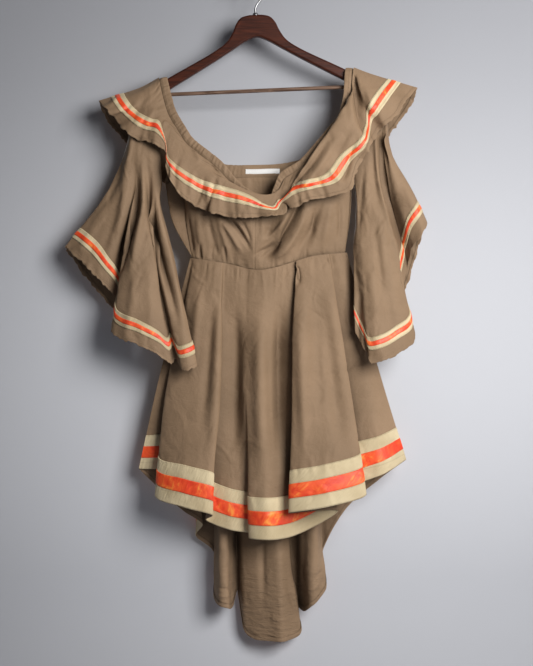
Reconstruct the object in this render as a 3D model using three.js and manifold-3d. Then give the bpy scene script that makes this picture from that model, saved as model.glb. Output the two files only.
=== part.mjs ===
// Ruffle dress on a wooden hanger, in millimetres, +Z up, seen from the front along +Y.
// The origin is the inside top of the hook's crown, where the hook hangs on a rail.

import * as THREE from 'three';
import { mergeVertices } from 'three/addons/utils/BufferGeometryUtils.js';
import Module from 'manifold-3d';

const wasm = await Module();
wasm.setup();

// Driving dimensions
const cloth = 1.4;
const trim = 0.8;
const seamGap = 0.3;
const casingThick = 2.0;
const ribbon = [35, 20];
const ribbonSatin = 0.4;
const bandWide = 75;
const bandSatin = 1 / 3;
const label = { wide: 63, high: 9, thick: 0.8, x: 16, z: -347 };

// The tables below give the places as the eye sees them from straight in front, in the hanger's plane.
// This moves such a place along its line of sight to its own depth y.
const eye = { x: 23, z: -646, away: 2000 };

function place(x, z, y) {
  const scale = (eye.away + y) / eye.away;
  return new THREE.Vector3(eye.x + (x - eye.x) * scale, y, eye.z + (z - eye.z) * scale);
}

// Hanger, in its own upright frame; the whole hanger leans by its tilt on the hook
const tilt = THREE.MathUtils.degToRad(2.45);
const arm = { slope: 0.5236, top: -81.7, reach: 217, highInside: 17.6, highOutside: 20.5, thick: 13 };
const neckBlock = { crown: -59, halfWide: 36, arch: -99 };
const bar = { radius: 3.6, z: -198, halfLong: 188 };
const hook = { wire: 1.9, inside: 16, foot: -66, collar: 5.5, collarTop: -54.5 };

function armTop(x) {
  return arm.top - arm.slope * Math.abs(x);
}

function hangerOutline() {
  const outline = new THREE.Shape();
  const low = armTop(arm.reach) - 9;
  const half = [
    { x: 14, z: neckBlock.crown },
    { x: 27, z: neckBlock.crown - 4 },
    { x: neckBlock.halfWide, z: -73 },
    { x: 44, z: -90 },
    { x: 55, z: -106 },
    { x: 77, z: armTop(77) },
    { x: 150, z: armTop(150) },
    { x: arm.reach - 12, z: armTop(arm.reach - 12) },
    { x: arm.reach - 3, z: armTop(arm.reach - 3) - 2 },
    { x: arm.reach, z: low },
    { x: arm.reach - 8, z: armTop(arm.reach - 8) - arm.highOutside },
    { x: 150, z: armTop(150) - arm.highOutside },
    { x: 74, z: armTop(74) - arm.highInside },
    { x: 42, z: -119 },
    { x: 20, z: -106 },
  ];
  outline.moveTo(0, neckBlock.crown + 0.5);
  for (const point of half) {
    outline.lineTo(point.x, point.z);
  }
  outline.lineTo(0, neckBlock.arch);
  for (const point of half.slice().reverse()) {
    outline.lineTo(-point.x, point.z);
  }
  outline.closePath();
  return outline;
}

function toSolid(geometry) {
  const bare = geometry.clone();
  bare.deleteAttribute('normal');
  bare.deleteAttribute('uv');
  const merged = mergeVertices(bare, 1e-4);
  return new wasm.Manifold(new wasm.Mesh({
    numProp: 3,
    vertProperties: Float32Array.from(merged.attributes.position.array),
    triVerts: Uint32Array.from(merged.index.array),
  }));
}

function fromSolid(solid) {
  const mesh = solid.getMesh();
  const geometry = new THREE.BufferGeometry();
  geometry.setAttribute('position', new THREE.BufferAttribute(Float32Array.from(mesh.vertProperties), 3));
  geometry.setIndex(new THREE.BufferAttribute(Uint32Array.from(mesh.triVerts), 1));
  return geometry;
}

function barGeometry(radius, halfLong) {
  const geometry = new THREE.CylinderGeometry(radius, radius, 2 * halfLong, 16);
  geometry.rotateZ(Math.PI / 2);
  geometry.translate(0, 0, bar.z);
  return geometry;
}

function hangerBody() {
  const bevel = 2.4;
  const geometry = new THREE.ExtrudeGeometry(hangerOutline(), {
    depth: arm.thick - 2 * bevel,
    bevelEnabled: true,
    bevelSegments: 2,
    bevelSize: bevel,
    bevelOffset: -bevel,
    bevelThickness: bevel,
  });
  geometry.rotateX(Math.PI / 2);
  geometry.translate(0, arm.thick / 2 - bevel, 0);
  const socket = toSolid(barGeometry(bar.radius + seamGap, bar.halfLong + seamGap));
  const hookHole = new THREE.CylinderGeometry(hook.collar + seamGap, hook.collar + seamGap, 30, 16);
  hookHole.rotateX(Math.PI / 2);
  hookHole.translate(0, 0, hook.foot - seamGap + 15);
  return fromSolid(toSolid(geometry).subtract(socket).subtract(toSolid(hookHole)));
}

function hookGeometry() {
  const middle = hook.inside + hook.wire;
  const points = [
    new THREE.Vector3(0, 0, hook.collarTop - 4),
    new THREE.Vector3(0.5, 0, -46),
    new THREE.Vector3(5, 0, -37),
  ];
  for (let step = 0; step <= 14; step += 1) {
    const angle = THREE.MathUtils.degToRad(-50 + step * 17);
    points.push(new THREE.Vector3(middle * Math.cos(angle), 0, -hook.inside + middle * Math.sin(angle)));
  }
  const round = new THREE.Shape();
  round.absarc(0, 0, hook.wire, 0, 2 * Math.PI);
  const wire = new THREE.ExtrudeGeometry(round, {
    steps: 26,
    curveSegments: 5,
    bevelEnabled: false,
    extrudePath: new THREE.CatmullRomCurve3(points),
  });
  const collar = new THREE.CylinderGeometry(hook.collar - 1, hook.collar, hook.collarTop - hook.foot, 16);
  collar.rotateX(Math.PI / 2);
  collar.translate(0, 0, (hook.collarTop + hook.foot) / 2);
  const tip = new THREE.SphereGeometry(hook.wire + 0.8, 8, 6);
  tip.translate(points.at(-1).x, 0, points.at(-1).z);
  return fromSolid(toSolid(wire).add(toSolid(collar)).add(toSolid(tip)));
}

// One smooth curve through a list of points
function curveThrough(points, closed = false) {
  return new THREE.CatmullRomCurve3(points, closed, 'centripetal');
}

function shares(...values) {
  return values.map((share) => ({ share }));
}

function trimmed(line, trim) {
  line.trim = trim;
  return line;
}

// A grid of points, grid[v][u], from one line of cloth for each fold. A row is a share of the way down
// to the trim, the trim's upper or lower edge, or the hem.
const hemRow = { hem: true };
const trimRows = [{ trimEdge: 0.5 }, { trimEdge: -0.5 }];

function pointOn(line, row) {
  const length = line.getLength();
  const [middle, wide] = line.trim ?? [0, 0];
  if (row.hem) {
    return line.getPointAt(1);
  }
  if (row.trimEdge) {
    return line.getPointAt(1 - (middle + row.trimEdge * wide) / length);
  }
  return line.getPointAt(row.share * (1 - (middle + wide / 2) / length));
}

function gridOf(lines, rows, perStation, closed = false) {
  const rings = rows.map((row) => lines.map((line) => pointOn(line, row)));
  const count = (closed ? lines.length : lines.length - 1) * perStation;
  return rings.map((ring) => {
    const curve = curveThrough(ring, closed);
    const last = closed ? count - 1 : count;
    return Array.from({ length: last + 1 }, (unused, step) => curve.getPoint(step / count));
  });
}

function normalsOf(grid, closed, outward) {
  const rows = grid.length;
  const columns = grid[0].length;
  return grid.map((row, v) => row.map((point, u) => {
    const before = closed ? (u + columns - 1) % columns : Math.max(u - 1, 0);
    const after = closed ? (u + 1) % columns : Math.min(u + 1, columns - 1);
    const along = row[after].clone().sub(row[before]);
    const across = grid[Math.min(v + 1, rows - 1)][u].clone().sub(grid[Math.max(v - 1, 0)][u]);
    return along.cross(across).normalize().multiplyScalar(outward);
  }));
}

// A closed wall between two lifted copies of a grid, with a rim round its open edges
function wallBetween(grid, normals, low, high, { closed = false, outward = 1, crown = false } = {}) {
  const rows = grid.length;
  const columns = grid[0].length;
  const positions = [];
  for (const lift of [low, high]) {
    for (let v = 0; v < rows; v += 1) {
      for (let u = 0; u < columns; u += 1) {
        positions.push(grid[v][u].clone().addScaledVector(normals[v][u], lift));
      }
    }
  }
  const at = (side, v, u) => side * rows * columns + v * columns + (u % columns);
  const triangles = [];
  const quad = (a, b, c, d) => triangles.push(a, b, c, a, c, d);
  const spans = closed ? columns : columns - 1;
  for (let v = 0; v < rows - 1; v += 1) {
    for (let u = 0; u < spans; u += 1) {
      const corners = [[v, u], [v, u + 1], [v + 1, u + 1], [v + 1, u]];
      const [p, q, r, s] = corners.map(([row, column]) => grid[row][column % columns]);
      const sag = p.clone().add(r).sub(q).sub(s).dot(normals[v][u]);
      const turned = crown ? sag < 0 : sag > 0;
      const order = turned ? [corners[1], corners[2], corners[3], corners[0]] : corners;
      const [a, b, c, d] = order.map(([row, column]) => at(1, row, column));
      const [e, f, g, h] = order.map(([row, column]) => at(0, row, column));
      if (outward > 0) {
        quad(a, b, c, d);
        quad(e, h, g, f);
      } else {
        quad(a, d, c, b);
        quad(e, f, g, h);
      }
    }
  }
  const rim = (a, b, c, d) => (outward > 0 ? quad(a, b, c, d) : quad(d, c, b, a));
  for (let u = 0; u < spans; u += 1) {
    rim(at(0, 0, u), at(0, 0, u + 1), at(1, 0, u + 1), at(1, 0, u));
    rim(at(1, rows - 1, u), at(1, rows - 1, u + 1), at(0, rows - 1, u + 1), at(0, rows - 1, u));
  }
  if (!closed) {
    for (let v = 0; v < rows - 1; v += 1) {
      rim(at(1, v, 0), at(1, v + 1, 0), at(0, v + 1, 0), at(0, v, 0));
      const end = columns - 1;
      rim(at(0, v, end), at(0, v + 1, end), at(1, v + 1, end), at(1, v, end));
    }
  }
  const geometry = new THREE.BufferGeometry();
  geometry.setAttribute('position', new THREE.Float32BufferAttribute(positions.flatMap((p) => p.toArray()), 3));
  geometry.setIndex(triangles);
  return geometry;
}

// The neck casing's free edge, all round from the crest over the left arm, with its depth and width
const neckEdge = [
  { at: 'left crest', x: -161, z: -173.5, y: 0, wide: 15 },
  { at: 'over left arm', x: -160, z: -176.2, y: -11, wide: 15 },
  { at: 'front left 1', x: -152, z: -209, y: -19, wide: 16 },
  { at: 'front left 2', x: -144, z: -235, y: -22, wide: 16 },
  { at: 'front left 3', x: -130, z: -259, y: -24, wide: 16 },
  { at: 'front left 4', x: -113, z: -285, y: -26, wide: 16 },
  { at: 'front left 5', x: -89, z: -305, y: -28, wide: 16 },
  { at: 'front left 6', x: -59, z: -329, y: -30, wide: 16 },
  { at: 'front left 7', x: -26, z: -368, y: -32, wide: 16 },
  { at: 'low left', x: 7, z: -390, y: -34, wide: 16 },
  { at: 'lowest', x: 26, z: -397, y: -34, wide: 15 },
  { at: 'pinch', x: 36, z: -377, y: -30, wide: 13, out: [0.85, -0.53] },
  { at: 'front right 1', x: 48, z: -350, y: -28, wide: 14, out: [0.6, -0.8] },
  { at: 'front right 2', x: 83, z: -327, y: -28, wide: 15 },
  { at: 'front right 3', x: 113, z: -294, y: -27, wide: 15 },
  { at: 'front right 4', x: 135, z: -268, y: -25, wide: 15 },
  { at: 'front right 5', x: 154, z: -244, y: -22, wide: 15 },
  { at: 'front right 6', x: 164, z: -211, y: -18, wide: 15 },
  { at: 'over right arm', x: 168, z: -160, y: -11, wide: 15 },
  { at: 'right crest', x: 170, z: -156.5, y: 0, wide: 15 },
  { at: 'behind right arm', x: 171, z: -165, y: 11, wide: 15 },
  { at: 'back right 1', x: 170, z: -215, y: 14, wide: 19 },
  { at: 'back right 2', x: 159, z: -252, y: 14, wide: 21 },
  { at: 'back right 3', x: 135, z: -287, y: 15, wide: 23 },
  { at: 'back right 4', x: 100, z: -318, y: 16, wide: 24 },
  { at: 'back right 5', x: 61, z: -331, y: 16, wide: 25 },
  { at: 'back middle', x: 2, z: -335, y: 16, wide: 25 },
  { at: 'back left 5', x: -59, z: -333, y: 16, wide: 25 },
  { at: 'back left 4', x: -94, z: -322, y: 16, wide: 24 },
  { at: 'back left 3', x: -122, z: -298, y: 15, wide: 23 },
  { at: 'back left 2', x: -146, z: -261, y: 14, wide: 21 },
  { at: 'back left 1', x: -161, z: -220, y: 14, wide: 19 },
  { at: 'behind left arm', x: -163, z: -181, y: 10, wide: 16 },
];
const neckCentre = { x: 7, z: -141 };
const rightCrest = neckEdge.findIndex((row) => row.at === 'right crest');

function neckPoint(row, beyond) {
  const away = row.out ?? [row.x - neckCentre.x, row.z - neckCentre.z];
  const out = new THREE.Vector2(...away).normalize();
  return place(row.x + out.x * beyond, row.z + out.y * beyond, row.y);
}

const casingLines = neckEdge.map((row) => new THREE.LineCurve3(neckPoint(row, 0), neckPoint(row, row.wide)));
const neckPerRow = 3;
const casingGrid = gridOf(casingLines, shares(0, 1), neckPerRow, true);
const casingNormals = normalsOf(casingGrid, true, -1);

// The flounce is sewn on the casing's outer side, along its lower edge
const seamLift = casingThick / 2 + 4 * seamGap + cloth / 2;
const seamEdge = curveThrough(neckEdge.map((row, index) => neckPoint(row, row.wide)
  .addScaledVector(casingNormals[1][index * neckPerRow], seamLift)), true);

function seamPoint(share, behind) {
  const turn = rightCrest / neckEdge.length;
  return seamEdge.getPoint(behind ? (1 - share * (1 - turn)) % 1 : share * turn);
}

// Flounce: where each wave leaves the neck seam (neck, 0 left crest to 1 right crest), where it turns
// over its own top fold, where its hem lies, and the ribbon's middle above the hem and its width as seen
const flounceFront = [
  { neck: 0.006, fold: [-211, -192, -1], hem: [-287, -216, -1], ribbon: [35, 20] },
  { neck: 0.03, fold: [-207, -200, -17], hem: [-279, -226, -16], ribbon: [32, 20] },
  { neck: 0.06, fold: [-200, -215, -25], hem: [-265, -242, -26], ribbon: [30, 20] },
  { neck: 0.09, fold: [-194, -224, -26], hem: [-252, -252, -16], ribbon: [28, 20] },
  { neck: 0.12, fold: [-189, -233, -28], hem: [-235, -278, -30], ribbon: [35, 20] },
  { neck: 0.15, fold: [-181, -242, -29], hem: [-211, -290, -22], ribbon: [34, 20] },
  { neck: 0.18, fold: [-174, -250, -31], hem: [-185, -296, -34], ribbon: [33, 20] },
  { neck: 0.21, fold: [-165, -257, -32], hem: [-166, -309, -32], ribbon: [26, 15] },
  { neck: 0.235, fold: [-157, -265, -31], hem: [-162, -323, -32], ribbon: [14, 9] },
  { neck: 0.26, fold: [-151, -277, -31], hem: [-162, -340, -36], ribbon: [14, 10] },
  { neck: 0.30, fold: [-141, -294, -32], hem: [-155, -364, -44], ribbon: [26, 16] },
  { neck: 0.35, fold: [-124, -318, -36], hem: [-130, -396, -48], ribbon: [40, 20] },
  { neck: 0.40, fold: [-104, -337, -38], hem: [-96, -417, -42], ribbon: [45, 21] },
  { neck: 0.44, fold: [-80, -351, -40], hem: [-78, -424, -52], ribbon: [44, 21] },
  { neck: 0.48, fold: [-54, -364, -42], hem: [-50, -431, -45], ribbon: [42, 21] },
  { neck: 0.52, fold: [-28, -377, -44], hem: [-24, -430, -53], ribbon: [36, 20] },
  { neck: 0.56, fold: [-4, -390, -45], hem: [7, -431, -47], ribbon: [29, 18] },
  { neck: 0.59, fold: [18, -403, -44], hem: [39, -430, -53], ribbon: [24, 12] },
  { neck: 0.61, fold: [33, -409, -42], hem: [56, -424, -48], ribbon: [20, 8] },
  { neck: 0.63, fold: [44, -403, -39], hem: [61, -407, -40], ribbon: [15, 7] },
  { neck: 0.66, fold: [57, -392, -44], hem: [68, -416, -48], ribbon: [26, 11] },
  { neck: 0.70, fold: [68, -377, -48], hem: [98, -402, -53], ribbon: [36, 18] },
  { neck: 0.74, fold: [85, -355, -51], hem: [141, -392, -50], ribbon: [42, 20] },
  { neck: 0.78, fold: [104, -326, -50], hem: [178, -381, -46], ribbon: [40, 20] },
  { neck: 0.82, fold: [126, -292, -48], hem: [196, -333, -42], ribbon: [26, 18] },
  { neck: 0.855, fold: [146, -262, -47], hem: [212, -311, -46], ribbon: [18, 14] },
  { neck: 0.88, fold: [163, -232, -45], hem: [218, -296, -45], ribbon: [15, 10] },
  { neck: 0.905, fold: [180, -206, -29], hem: [222, -286, -28], ribbon: [22, 12] },
  { neck: 0.925, fold: [186, -198, -26], hem: [231, -271, -24], ribbon: [32, 16] },
  { neck: 0.945, fold: [192, -190, -29], hem: [243, -261, -34], ribbon: [36, 20] },
  { neck: 0.965, fold: [198, -183, -27], hem: [264, -245, -27], ribbon: [43, 20] },
  { neck: 0.985, fold: [206, -174, -15], hem: [278, -220, -18], ribbon: [40, 20] },
  { neck: 0.994, fold: [218, -167, -1], hem: [302, -192, -1], ribbon: [45, 20] },
];
const flounceBack = [
  { neck: 0.006, fold: [-211, -192, 1], hem: [-287, -216, 1], ribbon: [35, 20] },
  { neck: 0.06, fold: [-206, -206, 18], hem: [-277, -244, 20] },
  { neck: 0.12, fold: [-198, -228, 24], hem: [-257, -272, 26] },
  { neck: 0.18, fold: [-188, -250, 26], hem: [-233, -297, 24] },
  { neck: 0.25, fold: [-170, -290, 28], hem: [-202, -335, 34] },
  { neck: 0.33, fold: [-140, -335, 30], hem: [-155, -377, 36] },
  { neck: 0.41, fold: [-85, -370, 32], hem: [-91, -407, 42] },
  { neck: 0.50, fold: [0, -380, 33], hem: [0, -414, 38] },
  { neck: 0.59, fold: [90, -372, 32], hem: [89, -407, 42] },
  { neck: 0.67, fold: [145, -338, 30], hem: [159, -377, 36] },
  { neck: 0.75, fold: [175, -290, 28], hem: [205, -335, 34] },
  { neck: 0.82, fold: [190, -250, 26], hem: [242, -292, 26] },
  { neck: 0.90, fold: [204, -215, 22], hem: [274, -248, 26] },
  { neck: 0.96, fold: [212, -184, 16], hem: [292, -218, 16] },
  { neck: 0.994, fold: [218, -167, 1], hem: [302, -192, 1], ribbon: [45, 20] },
];

function flounceLines(table, behind) {
  return table.map((row) => {
    const start = seamPoint(row.neck, behind);
    const fold = place(...row.fold);
    const hem = place(...row.hem);
    return trimmed(curveThrough([start, fold, hem]), row.ribbon ?? ribbon);
  });
}

// Sleeves: three rings by size (outer and inner point, half depth), then a row for each fold with its
// turn round the ring in degrees, from the outside over the front, its middle and its hem
const sleeveRings = {
  left: [
    { outer: [-180, -179.5], inner: [-170, -370], halfDeep: 10.8 },
    { outer: [-219, -203], inner: [-172, -382], halfDeep: 14 },
    { outer: [-238, -305], inner: [-174, -398], halfDeep: 17 },
  ],
  right: [
    { outer: [187, -160.6], inner: [186, -372], halfDeep: 10.8 },
    { outer: [235, -181], inner: [187, -382], halfDeep: 14 },
    { outer: [252, -300], inner: [189, -400], halfDeep: 17 },
  ],
};
const sleeveFolds = {
  left: [
    { turn: 0, middle: [-279, -396, 0], hem: [-352, -488, 0] },
    { turn: 28, middle: [-262, -420, -14], hem: [-316, -516, -16] },
    { turn: 52, middle: [-250, -444, -20], hem: [-286, -549, -18] },
    { turn: 68, middle: [-236, -464, -10], hem: [-256, -584, -4] },
    { turn: 82, middle: [-240, -492, -26], hem: [-262, -647, -34] },
    { turn: 100, middle: [-216, -511, -36], hem: [-211, -670, -52] },
    { turn: 115, middle: [-196, -520, -34], hem: [-172, -688, -50] },
    { turn: 126, middle: [-182, -514, -28], hem: [-153, -702, -44] },
    { turn: 138, middle: [-183, -510, -19], hem: [-145, -692, -37] },
    { turn: 150, middle: [-175, -512, -26], hem: [-132, -716, -58] },
    { turn: 165, middle: [-163, -500, -24], hem: [-118, -714, -62] },
    { turn: 182, middle: [-154, -481, -8], hem: [-105, -706, -52] },
    { turn: 210, middle: [-172, -500, 8], hem: [-128, -698, -40] },
    { turn: 245, middle: [-196, -512, 12], hem: [-172, -668, -4] },
    { turn: 280, middle: [-226, -500, 14], hem: [-226, -640, 18] },
    { turn: 315, middle: [-252, -450, 12], hem: [-284, -575, 20] },
    { turn: 342, middle: [-270, -412, 8], hem: [-335, -510, 14] },
  ],
  right: [
    { turn: 0, middle: [279, -366, 4], hem: [315, -448, 6] },
    { turn: 25, middle: [270, -381, -6], hem: [300, -470, -6] },
    { turn: 45, middle: [259, -409, -8], hem: [287, -514, -6] },
    { turn: 62, middle: [252, -446, -6], hem: [274, -585, -4] },
    { turn: 78, middle: [257, -474, -24], hem: [298, -657, -34] },
    { turn: 100, middle: [240, -501, -38], hem: [270, -681, -56] },
    { turn: 125, middle: [220, -514, -38], hem: [240, -697, -64] },
    { turn: 150, middle: [200, -514, -34], hem: [216, -701, -62] },
    { turn: 170, middle: [189, -501, -24], hem: [207, -681, -50] },
    { turn: 190, middle: [184, -483, -12], hem: [187, -640, -38] },
    { turn: 215, middle: [192, -474, 6], hem: [218, -650, -26] },
    { turn: 250, middle: [218, -483, 12], hem: [255, -618, 8] },
    { turn: 290, middle: [248, -446, 14], hem: [285, -548, 16] },
    { turn: 330, middle: [270, -396, 12], hem: [307, -477, 14] },
  ],
};

const ringSquareness = 0.2;

function sleeveLines(side) {
  return sleeveFolds[side].map((row) => {
    const angle = THREE.MathUtils.degToRad(row.turn);
    const inward = (1 - Math.cos(angle)) / 2;
    const across = Math.sign(Math.sin(angle)) * Math.abs(Math.sin(angle)) ** ringSquareness;
    const points = sleeveRings[side].map((ring) => place(
      THREE.MathUtils.lerp(ring.outer[0], ring.inner[0], inward),
      THREE.MathUtils.lerp(ring.outer[1], ring.inner[1], inward),
      -ring.halfDeep * across,
    ));
    return trimmed(curveThrough([...points, place(...row.middle), place(...row.hem)]), ribbon);
  });
}

// Waist seam, as its height over x
const waistLine = [
  { x: -119, z: -507 },
  { x: -81, z: -512 },
  { x: -41, z: -519 },
  { x: -17, z: -526 },
  { x: 4, z: -530 },
  { x: 31, z: -527 },
  { x: 68, z: -516 },
  { x: 113, z: -502 },
  { x: 175, z: -497 },
];

function waistHeight(x) {
  const right = Math.max(1, waistLine.findIndex((row) => row.x >= x));
  const a = waistLine[right - 1];
  const b = waistLine[right];
  return THREE.MathUtils.mapLinear(x, a.x, b.x, a.z, b.z);
}

// Skirt: a row for each fold, at the waist (x, depth), half way down (x, depth) and at the hem
const skirtFront = [
  { fold: 'left side', waist: [-118, -1], middle: [-174, 1], hem: [-213, -897, 7], band: 64 },
  { fold: 'behind first panel', waist: [-115, -3], middle: [-152, -4], hem: [-159, -903, -6], band: 66 },
  { fold: 'first edge', waist: [-109, -6], middle: [-162, -16], hem: [-184, -946, -26], band: 70 },
  { fold: 'first belly', waist: [-90, -12], middle: [-118, -34], hem: [-131, -968, -54] },
  { fold: 'first end', waist: [-60, -14], middle: [-68, -38], hem: [-78, -983, -58] },
  { fold: 'left valley', waist: [-53, -10], middle: [-76, -20], hem: [-89, -992, -30] },
  { fold: 'second belly', waist: [-33, -12], middle: [-43, -24], hem: [-46, -1010, -36] },
  { fold: 'second end', waist: [-14, -12], middle: [-9, -28], hem: [4, -1018, -34] },
  { fold: 'third edge', waist: [-7, -14], middle: [-17, -36], hem: [-10, -1025, -52] },
  { fold: 'third belly', waist: [15, -17], middle: [19, -46], hem: [22, -1029, -68] },
  { fold: 'third turn', waist: [40, -16], middle: [46, -38], hem: [56, -1026, -54] },
  { fold: 'third curl', waist: [62, -14], middle: [72, -26], hem: [91, -1014, -40] },
  { fold: 'pleat inside', waist: [88, -13], middle: [102, -22], hem: [155, -975, -34] },
  { fold: 'fourth edge', waist: [78, -19], middle: [68, -46], hem: [64, -979, -72] },
  { fold: 'fourth belly', waist: [105, -19], middle: [118, -50], hem: [135, -968, -86] },
  { fold: 'fourth end', waist: [138, -15], middle: [178, -36], hem: [208, -945, -66] },
  { fold: 'right valley', waist: [141, -11], middle: [167, -22], hem: [189, -929, -40] },
  { fold: 'fifth belly', waist: [156, -9], middle: [207, -20], hem: [244, -905, -40], band: 68 },
  { fold: 'right side', waist: [172, -1], middle: [229, -1], hem: [281, -880, -1], band: 62 },
];
const skirtBack = [
  { fold: 'left side', waist: [-118, 1], middle: [-174, 3], hem: [-213, -897, 9], band: 64 },
  { fold: 'left flap', waist: [-105, 9], middle: [-140, 18], hem: [-135, -971, 24] },
  { fold: 'left curl', waist: [-90, 10], middle: [-108, 20], hem: [-96, -999, 12] },
  { fold: 'left curl back', waist: [-80, 10], middle: [-98, 26], hem: [-108, -1020, 32] },
  { fold: 'left slope', waist: [-66, 10], middle: [-80, 24], hem: [-74, -1051, 34] },
  { fold: 'left tube edge', waist: [-56, 10], middle: [-66, 14], hem: [-74, -1136, 12] },
  { fold: 'left tube', waist: [-44, 9], middle: [-54, 6], hem: [-59, -1151, -6] },
  { fold: 'left tube end', waist: [-34, 10], middle: [-42, 12], hem: [-43, -1154, 10] },
  { fold: 'left valley', waist: [-26, 11], middle: [-36, 26], hem: [-31, -1121, 34] },
  { fold: 'middle edge', waist: [-16, 10], middle: [-22, 14], hem: [-13, -1203, 8] },
  { fold: 'middle', waist: [10, 9], middle: [14, 6], hem: [33, -1215, -12] },
  { fold: 'middle end', waist: [40, 10], middle: [50, 14], hem: [85, -1203, 6] },
  { fold: 'right valley', waist: [50, 11], middle: [54, 28], hem: [80, -1154, 34] },
  { fold: 'right tube edge', waist: [60, 10], middle: [67, 16], hem: [93, -1160, 16] },
  { fold: 'right tube', waist: [80, 9], middle: [92, 8], hem: [107, -1151, -4] },
  { fold: 'right tube end', waist: [100, 10], middle: [115, 14], hem: [132, -1117, 10] },
  { fold: 'right slope', waist: [112, 11], middle: [128, 26], hem: [126, -1058, 30] },
  { fold: 'right flap', waist: [130, 10], middle: [150, 22], hem: [168, -973, 28] },
  { fold: 'right rear', waist: [150, 9], middle: [200, 16], hem: [229, -918, 22] },
  { fold: 'right side', waist: [172, 1], middle: [229, 1], hem: [281, -880, 1], band: 62 },
];
const skirtMiddle = 0.55;

function skirtLines(table) {
  return table.map((row) => {
    const top = waistHeight(row.waist[0]);
    const middle = THREE.MathUtils.lerp(top, row.hem[1], skirtMiddle);
    const line = curveThrough([
      place(row.waist[0], top, row.waist[1]),
      place(row.middle[0], middle, row.middle[1]),
      place(...row.hem),
    ]);
    const wide = row.band ?? bandWide;
    return trimmed(line, [wide / 2, wide]);
  });
}

// Bodice: a row for each line from its top, under the casing, to the waist
const bodiceTuck = 4;
const bodiceFront = [
  { top: [-129, -345, -2], middle: [-127, -3], waist: [-113, -0.6] },
  { top: [-127, -316, -17], middle: [-122, -14], waist: [-108, -1.6] },
  { top: [-104, -322, -21], middle: [-100, -20], waist: [-92, -9] },
  { top: [-80, -336, -24], middle: [-76, -24], waist: [-66, -8] },
  { top: [-52, -362, -26], middle: [-48, -26], waist: [-40, -6.5] },
  { top: [-26, -388, -28], middle: [-18, -28], waist: [-14, -9] },
  { top: [5, -408, -29], middle: [4, -27], waist: [6, -12] },
  { top: [34, -414, -29], middle: [32, -20], waist: [28, -12.5] },
  { top: [62, -378, -25], middle: [52, -30], waist: [50, -11.5] },
  { top: [94, -346, -24], middle: [88, -27], waist: [82, -9.5] },
  { top: [124, -312, -22], middle: [118, -24], waist: [112, -9] },
  { top: [148, -283, -19], middle: [150, -18], waist: [148, -5] },
  { top: [178, -330, -3], middle: [176, -2], waist: [168, -0.6] },
];
const bodiceBack = [
  { top: [-129, -348, 0], middle: [-127, -1], waist: [-113, 0.8] },
  { top: [-164, -370, 2], middle: [-150, 2], waist: [-111, 1.2] },
  { top: [-148, -330, 8], middle: [-140, 8], waist: [-104, 4] },
  { top: [-122, -326, 13], middle: [-118, 11], waist: [-95, 6] },
  { top: [-66, -356, 13.4], middle: [-62, 12], waist: [-55, 7] },
  { top: [2, -358, 13.4], middle: [2, 12], waist: [2, 7] },
  { top: [68, -354, 13.4], middle: [64, 12], waist: [58, 7] },
  { top: [124, -322, 13], middle: [120, 11], waist: [112, 6] },
  { top: [160, -296, 10], middle: [158, 8], waist: [148, 4] },
  { top: [181, -333, 0], middle: [179, 1], waist: [168, 0.8] },
];

function bodiceLines(table) {
  return table.map((row) => {
    const low = waistHeight(row.waist[0]) - bodiceTuck;
    return curveThrough([
      place(...row.top),
      place(row.middle[0], (row.top[1] + low) / 2, row.middle[1]),
      place(row.waist[0], low, row.waist[1]),
    ]);
  });
}

// Finishes
const finishes = {
  cloth: { color: 0x8f775c, roughness: 0.82, metalness: 0 },
  tape: { color: 0xe6d8a8, roughness: 0.7, metalness: 0 },
  satin: { color: 0xff5a30, roughness: 0.4, metalness: 0 },
  wood: { color: 0x3a1c14, roughness: 0.35, metalness: 0 },
  barWood: { color: 0x5e4438, roughness: 0.4, metalness: 0 },
  steel: { color: 0xb9bcc0, roughness: 0.25, metalness: 1 },
  label: { color: 0xf2f0ec, roughness: 0.6, metalness: 0 },
};

const dress = new THREE.Group();
const hanger = new THREE.Group();
hanger.rotation.y = -tilt;
dress.add(hanger);

function addPiece(name, geometry, finish, group = dress) {
  const mesh = new THREE.Mesh(geometry, new THREE.MeshStandardMaterial(finishes[finish]));
  mesh.name = name;
  group.add(mesh);
}

// A cloth piece, and the trim that lies on its outer side between two of its rows
function addCloth(name, lines, rows, { per = 3, closed = false, outward = -1 } = {}) {
  const grid = gridOf(lines, rows, per, closed);
  const normals = normalsOf(grid, closed, outward);
  addPiece(name, wallBetween(grid, normals, -cloth / 2, cloth / 2, { closed, outward }), 'cloth');
  return { grid, normals, closed, outward };
}

function addTrim(name, panel, topRow, satinShare) {
  const rows = [topRow, topRow + 1];
  const grid = rows.map((row) => panel.grid[row]);
  const normals = rows.map((row) => panel.normals[row]);
  const base = cloth / 2 + seamGap;
  const options = { closed: panel.closed, outward: panel.outward };
  addPiece(`${name}_tape`, wallBetween(grid, normals, base, base + trim, options), 'tape');
  const edges = [0.5 - satinShare / 2, 0.5 + satinShare / 2];
  const inner = edges.map((share) => grid[0].map((point, u) => point.clone().lerp(grid[1][u], share)));
  const turned = edges.map((share) => normals[0].map((normal, u) => (
    normal.clone().lerp(normals[1][u], share)
  )));
  const lift = base + trim + seamGap;
  options.crown = true;
  addPiece(`${name}_satin`, wallBetween(inner, turned, lift, lift + trim, options), 'satin');
}

addPiece('hanger_body', hangerBody(), 'wood', hanger);
addPiece('hanger_bar', barGeometry(bar.radius, bar.halfLong), 'barWood', hanger);
addPiece('hanger_hook', hookGeometry(), 'steel', hanger);

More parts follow.
